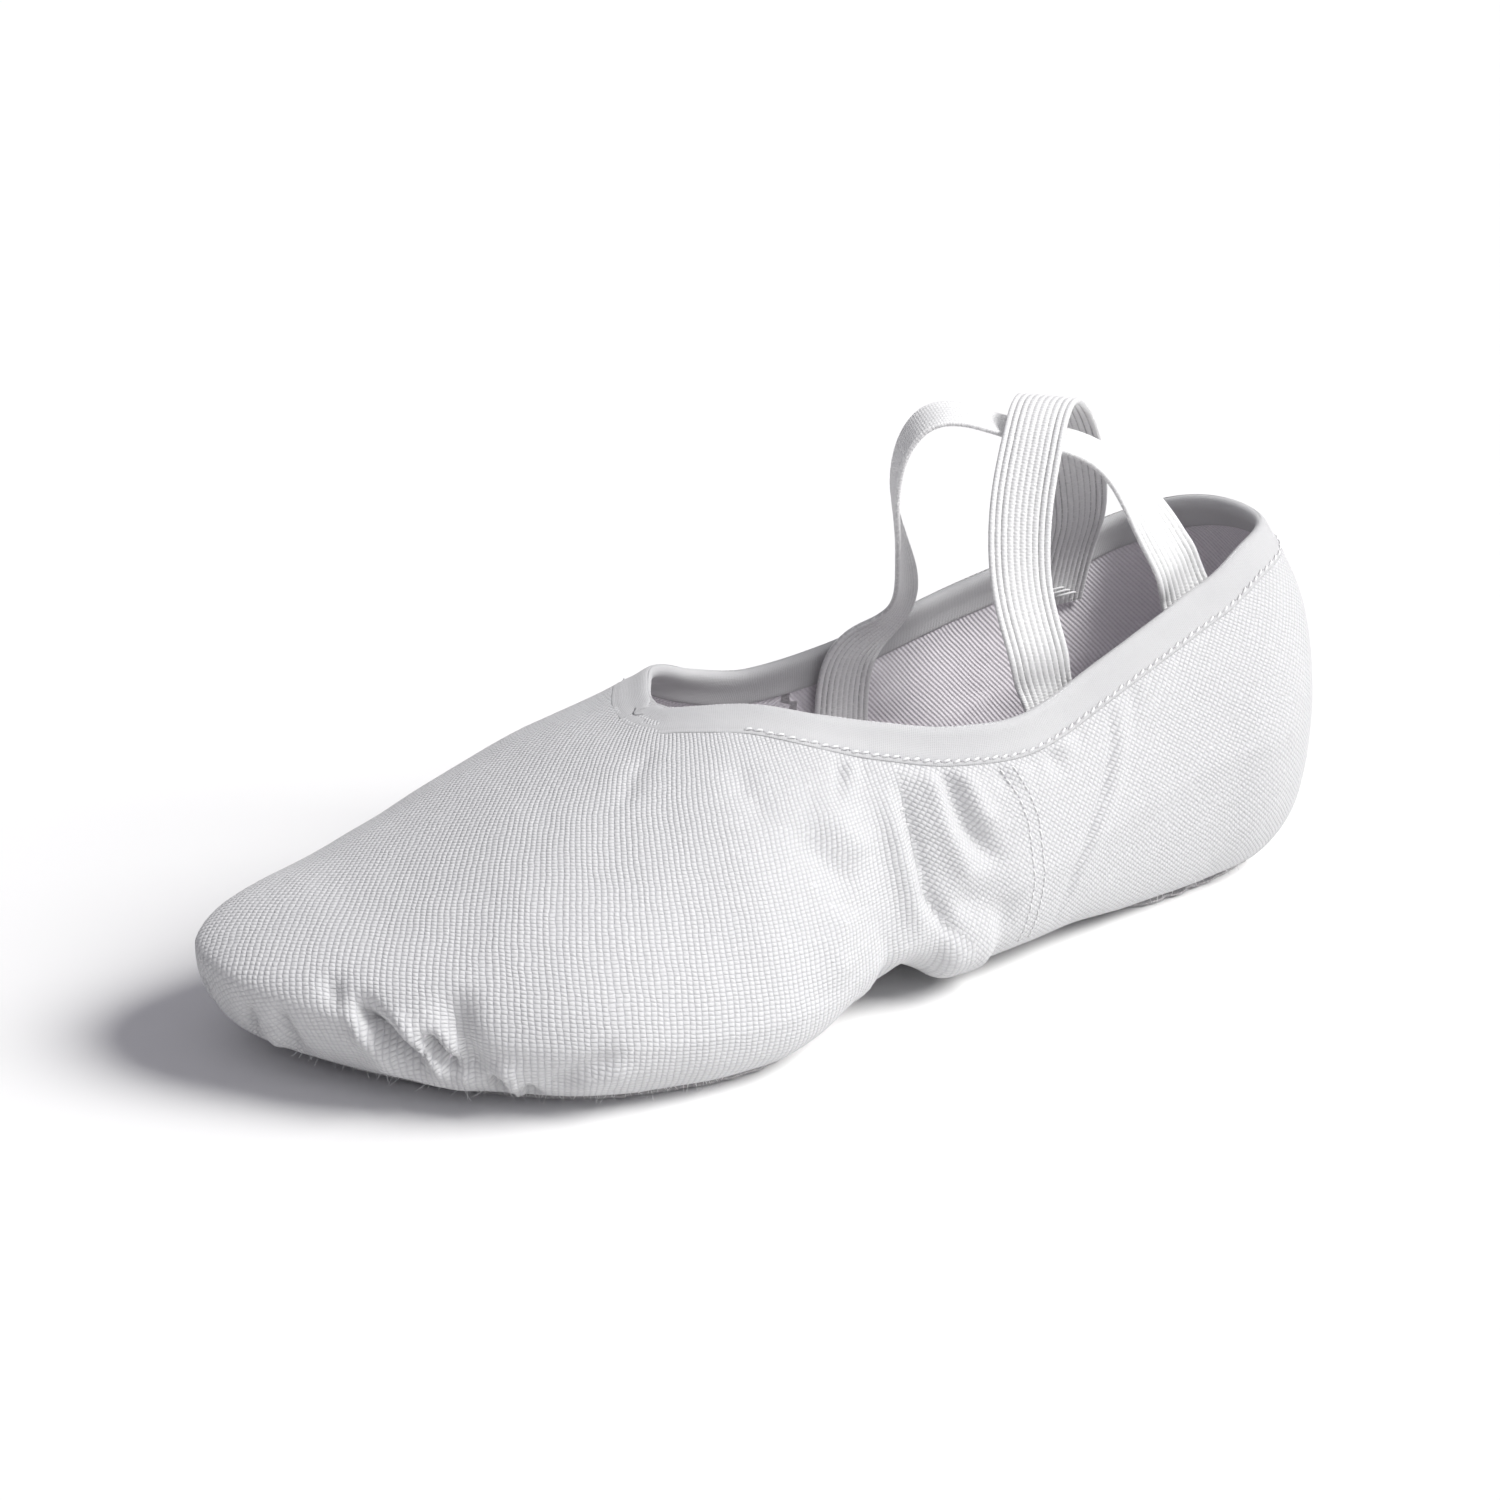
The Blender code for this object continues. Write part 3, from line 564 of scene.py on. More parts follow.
def spread(coarse, rows, columns, count_rows, count_columns):
    """A coarse grid of pairs read at every row and column in between."""
    def stretch(grids, places, count):
        return np.array([[np.interp(np.arange(count), places, line) for line in grid] for grid in grids])
    wide = stretch(coarse.transpose(2, 0, 1), columns, count_columns)
    return stretch(wide.transpose(0, 2, 1), rows, count_rows).transpose(2, 1, 0)


def patch_pattern(wall, first, count):
    """flat_pattern for the columns first to first + count of the ring, at every column and row."""
    m = wall.shape[1]
    rows = np.unique(np.append(np.arange(0, count, PATTERN_STEP), count - 1))
    columns = np.unique(np.append(np.arange(0, m, PATTERN_STEP), m - 1))
    picked = wall[(first + rows) % len(wall)][:, columns]
    flat = flat_pattern(picked, len(rows) // 2)
    full = spread(flat, rows, columns, count, m)
    out = np.zeros((len(wall), m, 2))
    out[(first + np.arange(count)) % len(wall)] = full
    return out


def on_bias(flat, way):
    """Turns a pattern 45 degrees, so that its bold threads climb towards the heel on the lateral side."""
    along = np.stack([flat[..., 0] * way + flat[..., 1], flat[..., 1] - flat[..., 0] * way], -1)
    return along / math.sqrt(2)


class Skin:
    """The upper's outer face with its folds, the inward normals, the weave's place and the panels."""

    def __init__(self, last):
        self.last = last
        rows, self.up = [], []
        for path, length in zip(last.paths, last.lengths):
            low = arc_length(path[:3 * TUCK_ROWS + 1])
            ups = np.concatenate([np.linspace(0, low, TUCK_ROWS, endpoint=False),
                                  np.linspace(low, length, WALL_ROWS + 1)])
            rows.append(resample(path, ups))
            self.up.append(ups)
        self.up = np.array(self.up)
        base = np.array(rows)
        self.normals = grid_normals(base)
        below_tape = last.lengths[:, None] - BINDING_HEIGHT - self.up
        relief = (fold_relief(last, base) + slack(base)) * smoothstep(below_tape / TAPE_CALM)
        self.wall = base + self.normals * relief[..., None]
        lateral = np.array([side for _, _, side in last.around])[:, None] == LATERAL
        place = last.place[:-1, None] / MM
        around = np.where(lateral, place, last.girth / MM - place)
        edges = {side: smooth_table(PANEL_EDGE[side], self.up / MM) for side in (LATERAL, MEDIAL)}
        self.front = around < np.where(lateral, edges[LATERAL], edges[MEDIAL])
        reach = last.columns(LATERAL, FRONT_END + PATTERN_LAP)[0][0]
        back = last.columns(LATERAL, BACK_START - PATTERN_LAP)[0][0]
        self.pattern = {
            True: on_bias(patch_pattern(base, -reach, 2 * reach + 1), 1),
            False: on_bias(patch_pattern(base, back, len(base) - 2 * back + 1), -1),
        }

    def read(self, side, around, up):
        """The folded skin's point and normal at (around, up)."""
        values = np.zeros(6)
        for k, share in self.last.columns(side, around):
            column = np.hstack([self.wall[k], self.normals[k]])
            values += share * np.array([np.interp(up * MM, self.up[k], line) for line in column.T])
        return values[:3], unit(values[3:])


def floor_margin(last, place):
    """How far the canvas runs in under the foot at one column: a hem at the pads, right across the waist."""
    t = last.widest[place, 1]
    start, end = FOREFOOT_PAD[1] * LENGTH - PAD_LAP, HEEL_PAD[0] * LENGTH + PAD_LAP
    waist = (smoothstep((t - start + WAIST_FADE) / WAIST_FADE)
             * smoothstep((end + WAIST_FADE - t) / WAIST_FADE))
    return MARGIN + (section_width(t) + UNDER_LAP - MARGIN) * waist


def under_rows(skin):
    """The canvas under the foot: from the feather edge in to the hem or, at the waist, the middle."""
    last = skin.last
    share = np.linspace(1, 0, UNDER_ROWS + 1)[:-1, None] ** 1.3
    out = []
    for i, (t, _, _) in enumerate(last.around):
        foot = skin.wall[i, 0, :2]
        aim = np.array([centre(foot[1] + last.middle[1]) - last.middle[0], foot[1]])
        across = floor_margin(last, i)
        hem = foot + last.inward[i] * min(across, MARGIN)
        waist = np.clip((across - MARGIN) / (section_width(t) + UNDER_LAP - MARGIN), 0, 1)
        plan = foot + (hem * (1 - waist) + aim * waist - foot) * share
        out.append(np.column_stack([plan, underside(plan[:, 1] + last.middle[1])]))
    return np.array(out)


def make_upper(skin, material):
    low = under_rows(skin)
    points = np.concatenate([low, skin.wall], axis=1)
    maps = [np.concatenate([low[..., :2] / MM, skin.pattern[front]], axis=1) for front in (False, True)]
    front = np.concatenate([np.repeat(skin.front[:, :1], UNDER_ROWS, 1), skin.front], axis=1)
    return new_object("upper_canvas", grid_mesh("upper_canvas", points, True, np.array(maps), choice=front),
                      material)


def make_lining(skin, material):
    """The inner face of the wall, as seen through the collar."""
    some = (slice(None, None, LINING_STEP), slice(None, None, LINING_STEP))
    inner = skin.wall[some] - skin.normals[some] * WALL_CLEAR
    uv = np.where(skin.front[some][..., None], skin.pattern[True][some], skin.pattern[False][some])
    mesh = grid_mesh("upper_lining", inner, True, uv)
    mesh.flip_normals()
    return new_object("upper_lining", mesh, material)


# The tape's section, folded over the edge round a drawstring: (out, up) in millimetres from the middle of
# the wall. Towards the throat it lies flush over THROAT_FLUSH, and it is square to the rim, though never
# longer than its height over LEAST_SQUARE.
TAPE_SECTION = ((0.85, -4.05), (0.98, -3.7), (0.92, -3.05), (1.02, -2.3), (0.98, -0.4), (1.10, 1.1),
                (1.22, 2.3), (1.16, 3.2), (0.82, 3.9), (0.25, 4.2), (-0.50, 4.1), (-1.20, 3.5),
                (-1.48, 2.5), (-1.38, 1.2), (-1.10, -0.4), (-1.05, -2.0), (-1.10, -3.3), (-0.85, -3.9),
                (0.0, -3.9))
TAPE_POINTS = 44
TAPE_STEP = 2
TAPE_UV_STEP = 0.55
LEAST_SQUARE = 0.3
THROAT_FLUSH = 38.0


def ease(values, passes, closed=False):
    """Averages a row of vectors with its neighbours. A row that isn't closed keeps its ends."""
    for _ in range(passes):
        mean = (np.roll(values, 1, 0) + 2 * values + np.roll(values, -1, 0)) / 4
        if not closed:
            mean[[0, -1]] = values[[0, -1]]
        values = mean
    return values


def smooth_route(points, count, closed=False):
    """Evenly spaced points on a Catmull-Rom curve through the route."""
    points = np.array(points, float)
    if closed:
        ends = [points[-1], *points, points[0], points[1]]
    else:
        ends = [2 * points[0] - points[1], *points, 2 * points[-1] - points[-2]]
    fine = []
    for a, b, c, d in zip(ends, ends[1:], ends[2:], ends[3:]):
        for s in np.linspace(0, 1, CURVE_STEPS, endpoint=False):
            fine.append(0.5 * (2 * b + (c - a) * s + (2 * a - 5 * b + 4 * c - d) * s * s
                               + (3 * b - a - 3 * c + d) * s ** 3))
    fine = np.array(fine + [points[0] if closed else points[-1]])
    return resample(fine, np.linspace(0, arc_length(fine), count, endpoint=not closed))


class Tape:
    """The frame of the collar's tape: its middle, and the out and up directions at each station."""

    def __init__(self, skin):
        last = skin.last
        tops = np.array([path[-1] for path in last.paths])
        ways = unit(np.roll(tops, -1, 0) - np.roll(tops, 1, 0))
        low, high = [], []
        for path, length, way in zip(last.paths, last.lengths, ways):
            rise = unit(path[-1] - resample(path, [length - BINDING_HEIGHT])[0])
            square = np.linalg.norm(np.cross(rise, way))
            ends = resample(path, [length - BINDING_HEIGHT / max(square, LEAST_SQUARE), length])
            low.append(ends[0])
            high.append(ends[1])
        low, high = np.array(low)[::TAPE_STEP], np.array(high)[::TAPE_STEP]
        mid = (low + high) / 2
        along = unit(np.roll(mid, -1, 0) - np.roll(mid, 1, 0))
        up = high - low
        up -= (up * along).sum(1)[:, None] * along
        self.up = unit(ease(unit(up), 8, closed=True))
        self.out = np.cross(along, self.up)
        self.middle = ease(mid - self.out * UPPER_WALL / 2, 3, closed=True)
        self.place = lengths_along(np.vstack([mid, mid[:1]]))
        self.length = self.place[-1]

    def at(self, place, out, up):
        """The point at a length round the tape, out and up from its middle."""
        frames = np.hstack([self.middle, self.out, self.up])
        frames = np.vstack([frames, frames[:1]])
        here = np.array([np.interp(place % self.length, self.place, line) for line in frames.T])
        return here[:3] + here[3:6] * out + here[6:] * up

    def direction(self, place):
        return unit(self.at(place + MM, 0, 0) - self.at(place - MM, 0, 0))


def make_tape(tape, material):
    section = smooth_route(TAPE_SECTION, TAPE_POINTS, closed=True) * MM
    low = np.clip(-section[:, 1] / (4 * MM), 0, 1)
    rows, uvs = [], []
    for place, middle, out, up in zip(tape.place, tape.middle, tape.out, tape.up):
        wave = noise.noise(Vector((place * 260, 3.1, 0)))
        swell = noise.noise(Vector((place * 90, 0, 7.7)))
        from_throat = min(place, tape.length - place) / MM
        nick = 1.6 * math.exp(-(from_throat / 1.5) ** 2)
        slim = 0.82 + 0.18 * smoothstep(from_throat / THROAT_FLUSH)
        x = section[:, :1] * np.where(section[:, :1] > 0, slim, 1.0)
        x = x + ((0.12 * wave * low + 0.10 * swell) * MM * np.sign(section[:, 0]))[:, None]
        y = section[:, 1:] + (0.18 * swell - nick * (section[:, 1:] > 0)) * MM
        rows.append(middle + out * x + up * y)
        uvs.append(np.column_stack([np.full(TAPE_POINTS, place / MM), np.arange(TAPE_POINTS) * TAPE_UV_STEP]))
    mesh = grid_mesh("collar_tape", np.array(rows), True, np.array(uvs), closed_across=True)
    close_mesh(mesh)
    return new_object("collar_tape", mesh, material)


class Bits:
    """Many small closed shapes gathered into one mesh."""

    def __init__(self):
        self.points, self.faces = [], []

    def tube(self, path, radius, sides=6, flat=1.0, up=(0.0, 0.0, 1.0)):
        """A tube along a path, with a radius at each point; flat squashes it towards up."""
        path = np.asarray(path, float)
        along = unit(np.gradient(path, axis=0))
        across = np.cross(along, up)
        across /= np.maximum(np.linalg.norm(across, axis=1), 1e-9)[:, None]
        over = np.cross(across, along)
        radius = np.broadcast_to(radius, len(path))
        start = len(self.points)
        for p, a, o, r in zip(path, across, over, radius):
            for k in range(sides):
                turn = 2 * math.pi * k / sides
                self.points.append(p + a * r * math.cos(turn) + o * r * flat * math.sin(turn))
        for i in range(len(path) - 1):
            low, high = start + i * sides, start + (i + 1) * sides
            for k in range(sides):
                n = (k + 1) % sides
                self.faces.append((low + k, low + n, high + n, high + k))
        self.faces.append(tuple(start + k for k in reversed(range(sides))))
        self.faces.append(tuple(start + (len(path) - 1) * sides + k for k in range(sides)))

    def stitch(self, middle, along, up, length, radius, slant):
        """One stitch: a short thread that dives into the cloth at both ends."""
        way = along * math.cos(slant) + np.cross(up, along) * math.sin(slant)
        reach = np.array([-0.5, -0.36, 0.0, 0.36, 0.5]) * length
        rise = np.array([-1.5, 0.0, 0.6, 0.0, -1.5]) * radius
        thickness = np.array([0.45, 0.9, 1.0, 0.9, 0.45]) * radius
        self.tube(middle + np.outer(reach, way) + np.outer(rise, up), thickness, 6, 0.8, up)

    def hole(self, middle, along, up, half):
        """One needle hole, as a flat dark bead of painted shade."""
        path = middle + np.outer([-half, 0.0, half], along)
        self.tube(path, np.array([0.5, 1.0, 0.5]) * HOLE_RADIUS, 6, 0.5, up)

    def object(self, name, material):
        mesh = bpy.data.meshes.new(name)
        mesh.from_pydata([tuple(p) for p in self.points], [], self.faces)
        close_mesh(mesh)
        return new_object(name, mesh, material)


STITCH_PITCH = 2.15 * MM
THREAD_RADIUS = 0.27 * MM
HOLE_RADIUS = 0.22 * MM
STITCH_START = 24 * MM
STITCH_DROP = -3.05 * MM


def tape_stitches(tape, thread, holes):
    """The row along the tape's lower edge: slanted stitches with a needle hole between each pair. It
    ends short of the throat, where the edge is turned in."""
    for i in range(round((tape.length - 2 * STITCH_START) / STITCH_PITCH)):
        place = STITCH_START + (i + 0.5) * STITCH_PITCH
        up = tape.at(place, 1, 0) - tape.at(place, 0, 0)
        way = tape.direction(place)
        drop = STITCH_DROP + 0.12 * math.sin(i * 2.4) * MM
        thread.stitch(tape.at(place, 1.10 * MM, drop), way, up, 1.6 * MM, THREAD_RADIUS, 0.32)
        holes.hole(tape.at(place + STITCH_PITCH / 2, 0.94 * MM, drop), way, up, 0.24 * MM)


def seam_stitches(skin, thread, holes):
    for side, gap, pitch, line in SEAMS:
        for shift in (0.0, gap):
            places = np.array(line, float) + np.array([shift, 0.0])
            dense = resample(places, np.linspace(0, arc_length(places), SEAM_POINTS))
            reads = [skin.read(side, *place) for place in dense]
            path = np.array([point for point, _ in reads])
            reach = lengths_along(path)
            for i in range(int(reach[-1] / (pitch * MM))):
                k = int(np.searchsorted(reach, (i + 0.5) * pitch * MM))
                k = min(max(k, 2), SEAM_POINTS - 3)
                along = unit(path[k + 2] - path[k - 2])
                normal = reads[k][1]
                thread.stitch(path[k] + normal * 0.08 * MM, along, normal, 1.5 * MM, 0.19 * MM, 0.1)
                j = min(int(np.searchsorted(reach, (i + 1) * pitch * MM)), SEAM_POINTS - 1)
                holes.hole(path[j], along, reads[j][1], 0.28 * MM)


# The elastics' ends, routes and turns start from the model's source. The under strap's far turns differ:
# they show its face as the real one lies. Routes are in shares of ball width, length and instep height.
OVER_START = (LATERAL, 0.690, 12 * MM)
OVER_END = (MEDIAL, 0.846, 5 * MM)
OVER_ROUTE = ((0.235, 0.674, 1.03), (0.190, 0.667, 1.25), (0.147, 0.676, 1.49), (0.090, 0.702, 1.69),
              (0.026, 0.728, 1.775), (-0.040, 0.757, 1.745), (-0.105, 0.790, 1.60), (-0.165, 0.818, 1.39),
              (-0.225, 0.840, 1.15))
OVER_FLAT = ((0.0, (0.0, 1.0, 0)), (0.14, (0.05, 1.0, 0)), (0.30, (0.35, 0.94, 0)), (0.48, (0.76, 0.65, 0)),
             (0.68, (0.72, 0.69, 0)), (0.84, (0.2, 0.98, 0)), (1.0, (0.0, 1.0, 0)))
UNDER_START = (MEDIAL, 0.612, 12 * MM)
UNDER_END = (LATERAL, 0.850, 12 * MM)
UNDER_ROUTE = ((-0.215, 0.650, 0.94), (-0.195, 0.655, 1.06), (-0.170, 0.641, 1.24), (-0.137, 0.626, 1.49),
               (-0.115, 0.632, 1.67), (-0.095, 0.655, 1.755), (-0.055, 0.688, 1.715), (-0.010, 0.727, 1.65),
               (0.042, 0.765, 1.61), (0.085, 0.788, 1.53), (0.130, 0.806, 1.39), (0.178, 0.824, 1.22))
UNDER_FLAT = ((0.0, (-0.1, -1.0, 0)), (0.12, (-0.1, -1.0, 0)), (0.22, (0.6, -0.8, 0)),
              (0.32, (0.87, -0.5, 0)), (0.55, (0.89, -0.45, 0)), (0.66, (0.80, -0.6, -0.1)),
              (0.78, (0.35, -0.75, -0.5)), (0.89, (0.05, -0.9, -0.4)), (1.0, (0.0, -1.0, 0)))
RIM_STAND = 3.0 * MM
ELASTIC_STATIONS = 240
ROUTE_EASE = 70
TURN_EASE = 40
ELASTIC_RIBS = 10
RIB_POINTS = 6
RIB_RISE = 0.22 * MM


def wall_point(t, side, height, inset):
    """A point on the inner side of the wall, inset from the canvas's outer face."""
    ratio = np.clip((height - widest_height(t)) / crown(t), 0, 1)
    reach = (1 - ratio ** SECTION_ROUNDNESS) ** (1 / SECTION_ROUNDNESS)
    x = centre(t) + side * (section_width(t) * reach - inset) + ridge_shift(height - widest_height(t), t)
    return np.array([float(x), t, height])


def sewn_end(side, share, length):
    """The stretch of an elastic that is sewn down inside the wall, from its end up past the rim."""
    t = share * LENGTH
    rim = float(collar_height(t, side))
    inset = UPPER_WALL + CLEARANCE + ELASTIC_THICKNESS
    below = rim - BINDING_HEIGHT
    return [wall_point(t, side, below - length, inset),
            wall_point(t, side, below - length / 2, inset),
            wall_point(t, side, below, inset + RIM_STAND / 2),
            wall_point(t, side, rim, inset + RIM_STAND)]


def elastic_section():
    """The ribbed outline of the elastic: (across, thick) with a bolder groove inside each edge."""
    top = []
    for k in range(ELASTIC_RIBS * RIB_POINTS + 1):
        share = k / (ELASTIC_RIBS * RIB_POINTS)
        rib = abs(math.sin(math.pi * share * ELASTIC_RIBS)) ** 0.6
        bold = max(math.exp(-((share - edge) / 0.014) ** 2) for edge in (0.1, 0.2, 0.8, 0.9))
        edge_fall = closure(min(share, 1 - share) + 0.004, 0.03, 2.0)
        height = ELASTIC_THICKNESS / 2 * edge_fall - RIB_RISE * (1 - rib) - 0.2 * MM * bold
        top.append(((share - 0.5) * ELASTIC_WIDTH, max(height, 0.1 * MM)))
    return np.array(top + [(x, -y) for x, y in reversed(top)])


def make_elastic(last, name, material, start, route, end, flats):
    """A strap along its route, eased like slack tape. flats says which way its face's width points."""
    scale = np.array([BALL_WIDTH, LENGTH, INSTEP_HEIGHT])
    points = sewn_end(*start) + [np.array(p) * scale for p in route] + sewn_end(*end)[::-1]
    middle = ease(smooth_route(points, ELASTIC_STATIONS), ROUTE_EASE) - last.middle
    along = unit(np.gradient(middle, axis=0))
    shares, turned = zip(*flats)
    place = np.linspace(0, 1, ELASTIC_STATIONS)
    flat = ease(np.stack([np.interp(place, shares, values) for values in zip(*turned)], 1), TURN_EASE)
    flat = unit(flat - (flat * along).sum(1)[:, None] * along)
    over = np.cross(flat, along)
    section = elastic_section()
    rows = middle[:, None] + flat[:, None] * section[None, :, :1] + over[:, None] * section[None, :, 1:]
    reach = lengths_along(middle)[:, None] / MM
    uv = np.stack(np.broadcast_arrays(section[None, :, 0] / MM, reach), 2)
    mesh = grid_mesh(name, rows, False, uv, closed_across=True)
    width, end_row = len(section), len(section) * (ELASTIC_STATIONS - 1)
    close_mesh(mesh, [range(0, width, 4), range(end_row, end_row + width, 4)])
    return new_object(name, mesh, material)


SHEET_ROWS = 150
SHEET_ACROSS = 46


def floor_outline(last, inset):
    """The feather edge in plan, moved in by inset: (x, t) of the lateral and of the medial side."""
    sides = {}
    for wanted in (LATERAL, MEDIAL):
        points = [floor_point(last.widest[i], last.inward[i], wanted, inset)[:2]
                  for i, (t, angle, side) in enumerate(last.around)
                  if side == wanted or t == 0.0 or angle == math.pi / 2]
        sides[wanted] = np.array(sorted(points, key=lambda p: p[1]))
    return sides


def make_sole_sheet(last, name, material, inset, span, thickness, lift, bridge, round_ends, ragged):
    """A pad or sock: a sheet sprung with the underside, with a softened and slightly uneven edge."""
    sides = floor_outline(last, inset)
    first = max(span[0] * LENGTH, sides[LATERAL][0, 1], sides[MEDIAL][0, 1])
    end = min(span[1] * LENGTH, sides[LATERAL][-1, 1], sides[MEDIAL][-1, 1])
    bend = 0.5 - 0.5 * np.cos(np.linspace(0, math.pi, SHEET_ROWS))
    across = np.sin(np.linspace(-0.5, 0.5, SHEET_ACROSS) * math.pi)
    top, bottom = [], []
    for t in first + (end - first) * (0.5 * bend + 0.5 * np.linspace(0, 1, SHEET_ROWS)):
        outer = np.interp(t, sides[LATERAL][:, 1], sides[LATERAL][:, 0])
        inner = np.interp(t, sides[MEDIAL][:, 1], sides[MEDIAL][:, 0])
        middle, half = (outer + inner) / 2, (outer - inner) / 2
        for reach, gap in ((round_ends[0], t - first), (round_ends[1], end - t)):
            if reach:
                half *= closure(gap + PAD_BLUNT, reach, 2.5)
        height = underside(t + bridge * np.linspace(-1, 1, 9)).max() + lift
        upper_row, lower_row = [], []
        for share in across:
            rag = ragged * noise.noise(Vector((share * 40, t * 420, 1.5))) * abs(share) ** 12
            x = middle + (half + rag) * share
            end_gap = min((1 - abs(share)) * half, t - first + 0.3 * MM, end - t + 0.3 * MM)
            soft = 0.35 * thickness * (1 - smoothstep(end_gap / (1.2 * MM)))
            grain = 0.05 * MM * noise.noise(Vector((x * 700, t * 700, 0)))
            upper_row.append((x, t, height - soft + grain))
            lower_row.append((x, t, height - thickness + soft - 0.5 * abs(grain)))
        top.append(upper_row)
        bottom.append(lower_row[::-1])
    rows = np.concatenate([top, bottom], axis=1) - last.middle
    mesh = grid_mesh(name, rows, False, rows[..., :2] / MM, closed_across=True)
    width = 2 * SHEET_ACROSS
    close_mesh(mesh, [[start + j for j in (k, k + 1, width - 2 - k, width - 1 - k)]
                      for start in (0, (SHEET_ROWS - 1) * width) for k in range(SHEET_ACROSS - 1)])
    return new_object(name, mesh, material)


class Value:
    """What one node of a material gives, so that a pattern can be written as a formula."""

    def __init__(self, graph, socket):
        self.graph, self.socket = graph, socket

    def __add__(self, other):
        return self.graph.math("ADD", self, other)

    def __sub__(self, other):
        return self.graph.math("SUBTRACT", self, other)

    def __mul__(self, other):
        return self.graph.math("MULTIPLY", self, other)

    def __truediv__(self, other):
        return self.graph.math("DIVIDE", self, other)


class Graph:
    """Builds one material's nodes. A method gives the Value of what it adds."""

    def __init__(self, name, roughness):
        self.material = bpy.data.materials.new(name)
        self.material.use_nodes = True
        self.nodes = self.material.node_tree.nodes
        self.shader = self.nodes["Principled BSDF"]
        self.shader.inputs["Roughness"].default_value = roughness
        self.shader.inputs["Metallic"].default_value = 0.0

    def feed(self, socket, value):
        if isinstance(value, Value):
            self.material.node_tree.links.new(value.socket, socket)
        elif isinstance(value, tuple):
            socket.default_value = (*value, 1.0)
        else:
            socket.default_value = value

    def add(self, kind, inputs, output=0, **settings):
        node = self.nodes.new(kind)
        for key, value in settings.items():
            setattr(node, key, value)
        for key, value in inputs.items():
            self.feed(node.inputs[key], value)
        return Value(self, node.outputs[output])

    def math(self, operation, *values):
        return self.add("ShaderNodeMath", dict(enumerate(values)), operation=operation)

    def wave(self, value, pitch):
        return self.math("SINE", value * (2 * math.pi / pitch))

    def ramp(self, value, start, end, low, high):
        """The colour low where the value is under start, and high where it is over end."""
        share = self.add("ShaderNodeMapRange", {"Value": value, "From Min": start, "From Max": end},
                         interpolation_type="SMOOTHSTEP")
        return self.mix(share, low, high)

    def mix(self, share, low, high):
        return self.add("ShaderNodeMix", {0: share, 6: low, 7: high}, 2, data_type="RGBA")

    def weave_map(self):
        """Along and across the cloth's threads, in millimetres."""
        flat = self.add("ShaderNodeUVMap", {}, uv_map="weave")
        split = self.add("ShaderNodeSeparateXYZ", {0: flat})
        return split, Value(self, split.socket.node.outputs[1])

    def noise(self, scale, detail=2.0, roughness=0.5):
        """Noise by the place in the object, in metres."""
        place = self.add("ShaderNodeTexCoord", {}, "Object")
        return self.add("ShaderNodeTexNoise", {"Vector": place, "Scale": scale, "Detail": detail,
                                               "Roughness": roughness})

    def chance(self, value):
        """A fixed random number for each whole value."""
        return self.add("ShaderNodeTexWhiteNoise", {"W": value}, noise_dimensions="1D")

    def finish(self, colour, height, depth, sheen=0.0, strength=0.9):
        """Gives the shader its colour, a bump of that depth in metres, and its sheen."""
        bump = self.add("ShaderNodeBump", {"Distance": depth, "Strength": strength, "Height": height})
        for name, value in (("Base Color", colour), ("Normal", bump), ("Sheen Weight", sheen),
                            ("Sheen Roughness", 0.5)):
            self.feed(self.shader.inputs[name], value)
        return self.material


# In millimetres: the spacing of the threads and ribs, and how far the elastic's bold grooves lie from its
# middle.
CANVAS_PITCH = (1.10, 0.82)
LINING_PITCH = 0.86
BOLD_GROOVE = 3.81


def tint(colour, share):
    return tuple(channel * share for channel in colour)


def plain_weave(graph, u, v, pitch_u, pitch_v, uneven):
    """The height of a plain weave, 0 to 1: at each crossing one thread lies over the other. The gaps
    between the threads along v are the deeper ones, and every thread has its own thickness."""
    a, b = u / pitch_u, v / pitch_v
    thread_a, thread_b = graph.math("FLOOR", a), graph.math("FLOOR", b)
    round_a = graph.math("COSINE", (a - thread_a - 0.5) * math.pi)
    round_b = graph.math("COSINE", (b - thread_b - 0.5) * math.pi)
    warp_over = graph.math("FLOORED_MODULO", thread_a + thread_b, 2.0)
    bold = graph.chance(thread_a) * uneven + (1 - uneven)
    warp = graph.math("POWER", round_a, 0.7) * (round_b * 0.55 + 0.45)
    weft = graph.math("POWER", round_b, 0.7) * (round_a * 0.75 + 0.25)
    return warp * bold * warp_over + weft * (warp_over * -0.82 + 0.82)


def canvas_material(name, colour, shade):
    """Cotton canvas: a plain weave with its gaps in shade, soft cloudiness and a little lint."""
    graph = Graph(name, 0.92)
    u, v = graph.weave_map()
    shift = graph.noise(55.0) * 1.6 + graph.noise(330.0) * 0.5 - 1.05
    weave = plain_weave(graph, u + shift, v + shift, *CANVAS_PITCH, 0.35)
    lint = graph.noise(900.0, 2.0, 0.6)
    base = graph.ramp(graph.noise(28.0, 4.0, 0.55), 0.35, 0.68, tint(colour, 0.965), colour)
    gap = graph.ramp(weave, 0.10, 0.60, shade, base)
    toned = graph.ramp(lint, 0.58, 0.78, gap, tint(colour, 1.06))
    return graph.finish(toned, lint * 0.30 + weave, 0.00031, 0.25)


def tape_material():
    """The collar's tape: a fine close weave."""
    graph = Graph("binding_tape", 0.85)
    weave = plain_weave(graph, *graph.weave_map(), 0.42, 0.42, 0.3)
    colour = graph.ramp(graph.noise(60.0, 3.0), 0.35, 0.7, (0.515, 0.515, 0.521), (0.54, 0.54, 0.543))
    shaded = graph.ramp(weave, 0.05, 0.5, (0.495, 0.495, 0.503), colour)
    return graph.finish(shaded, graph.noise(420.0, 3.0, 0.6) * 0.8 + weave, 0.00006, 0.2)


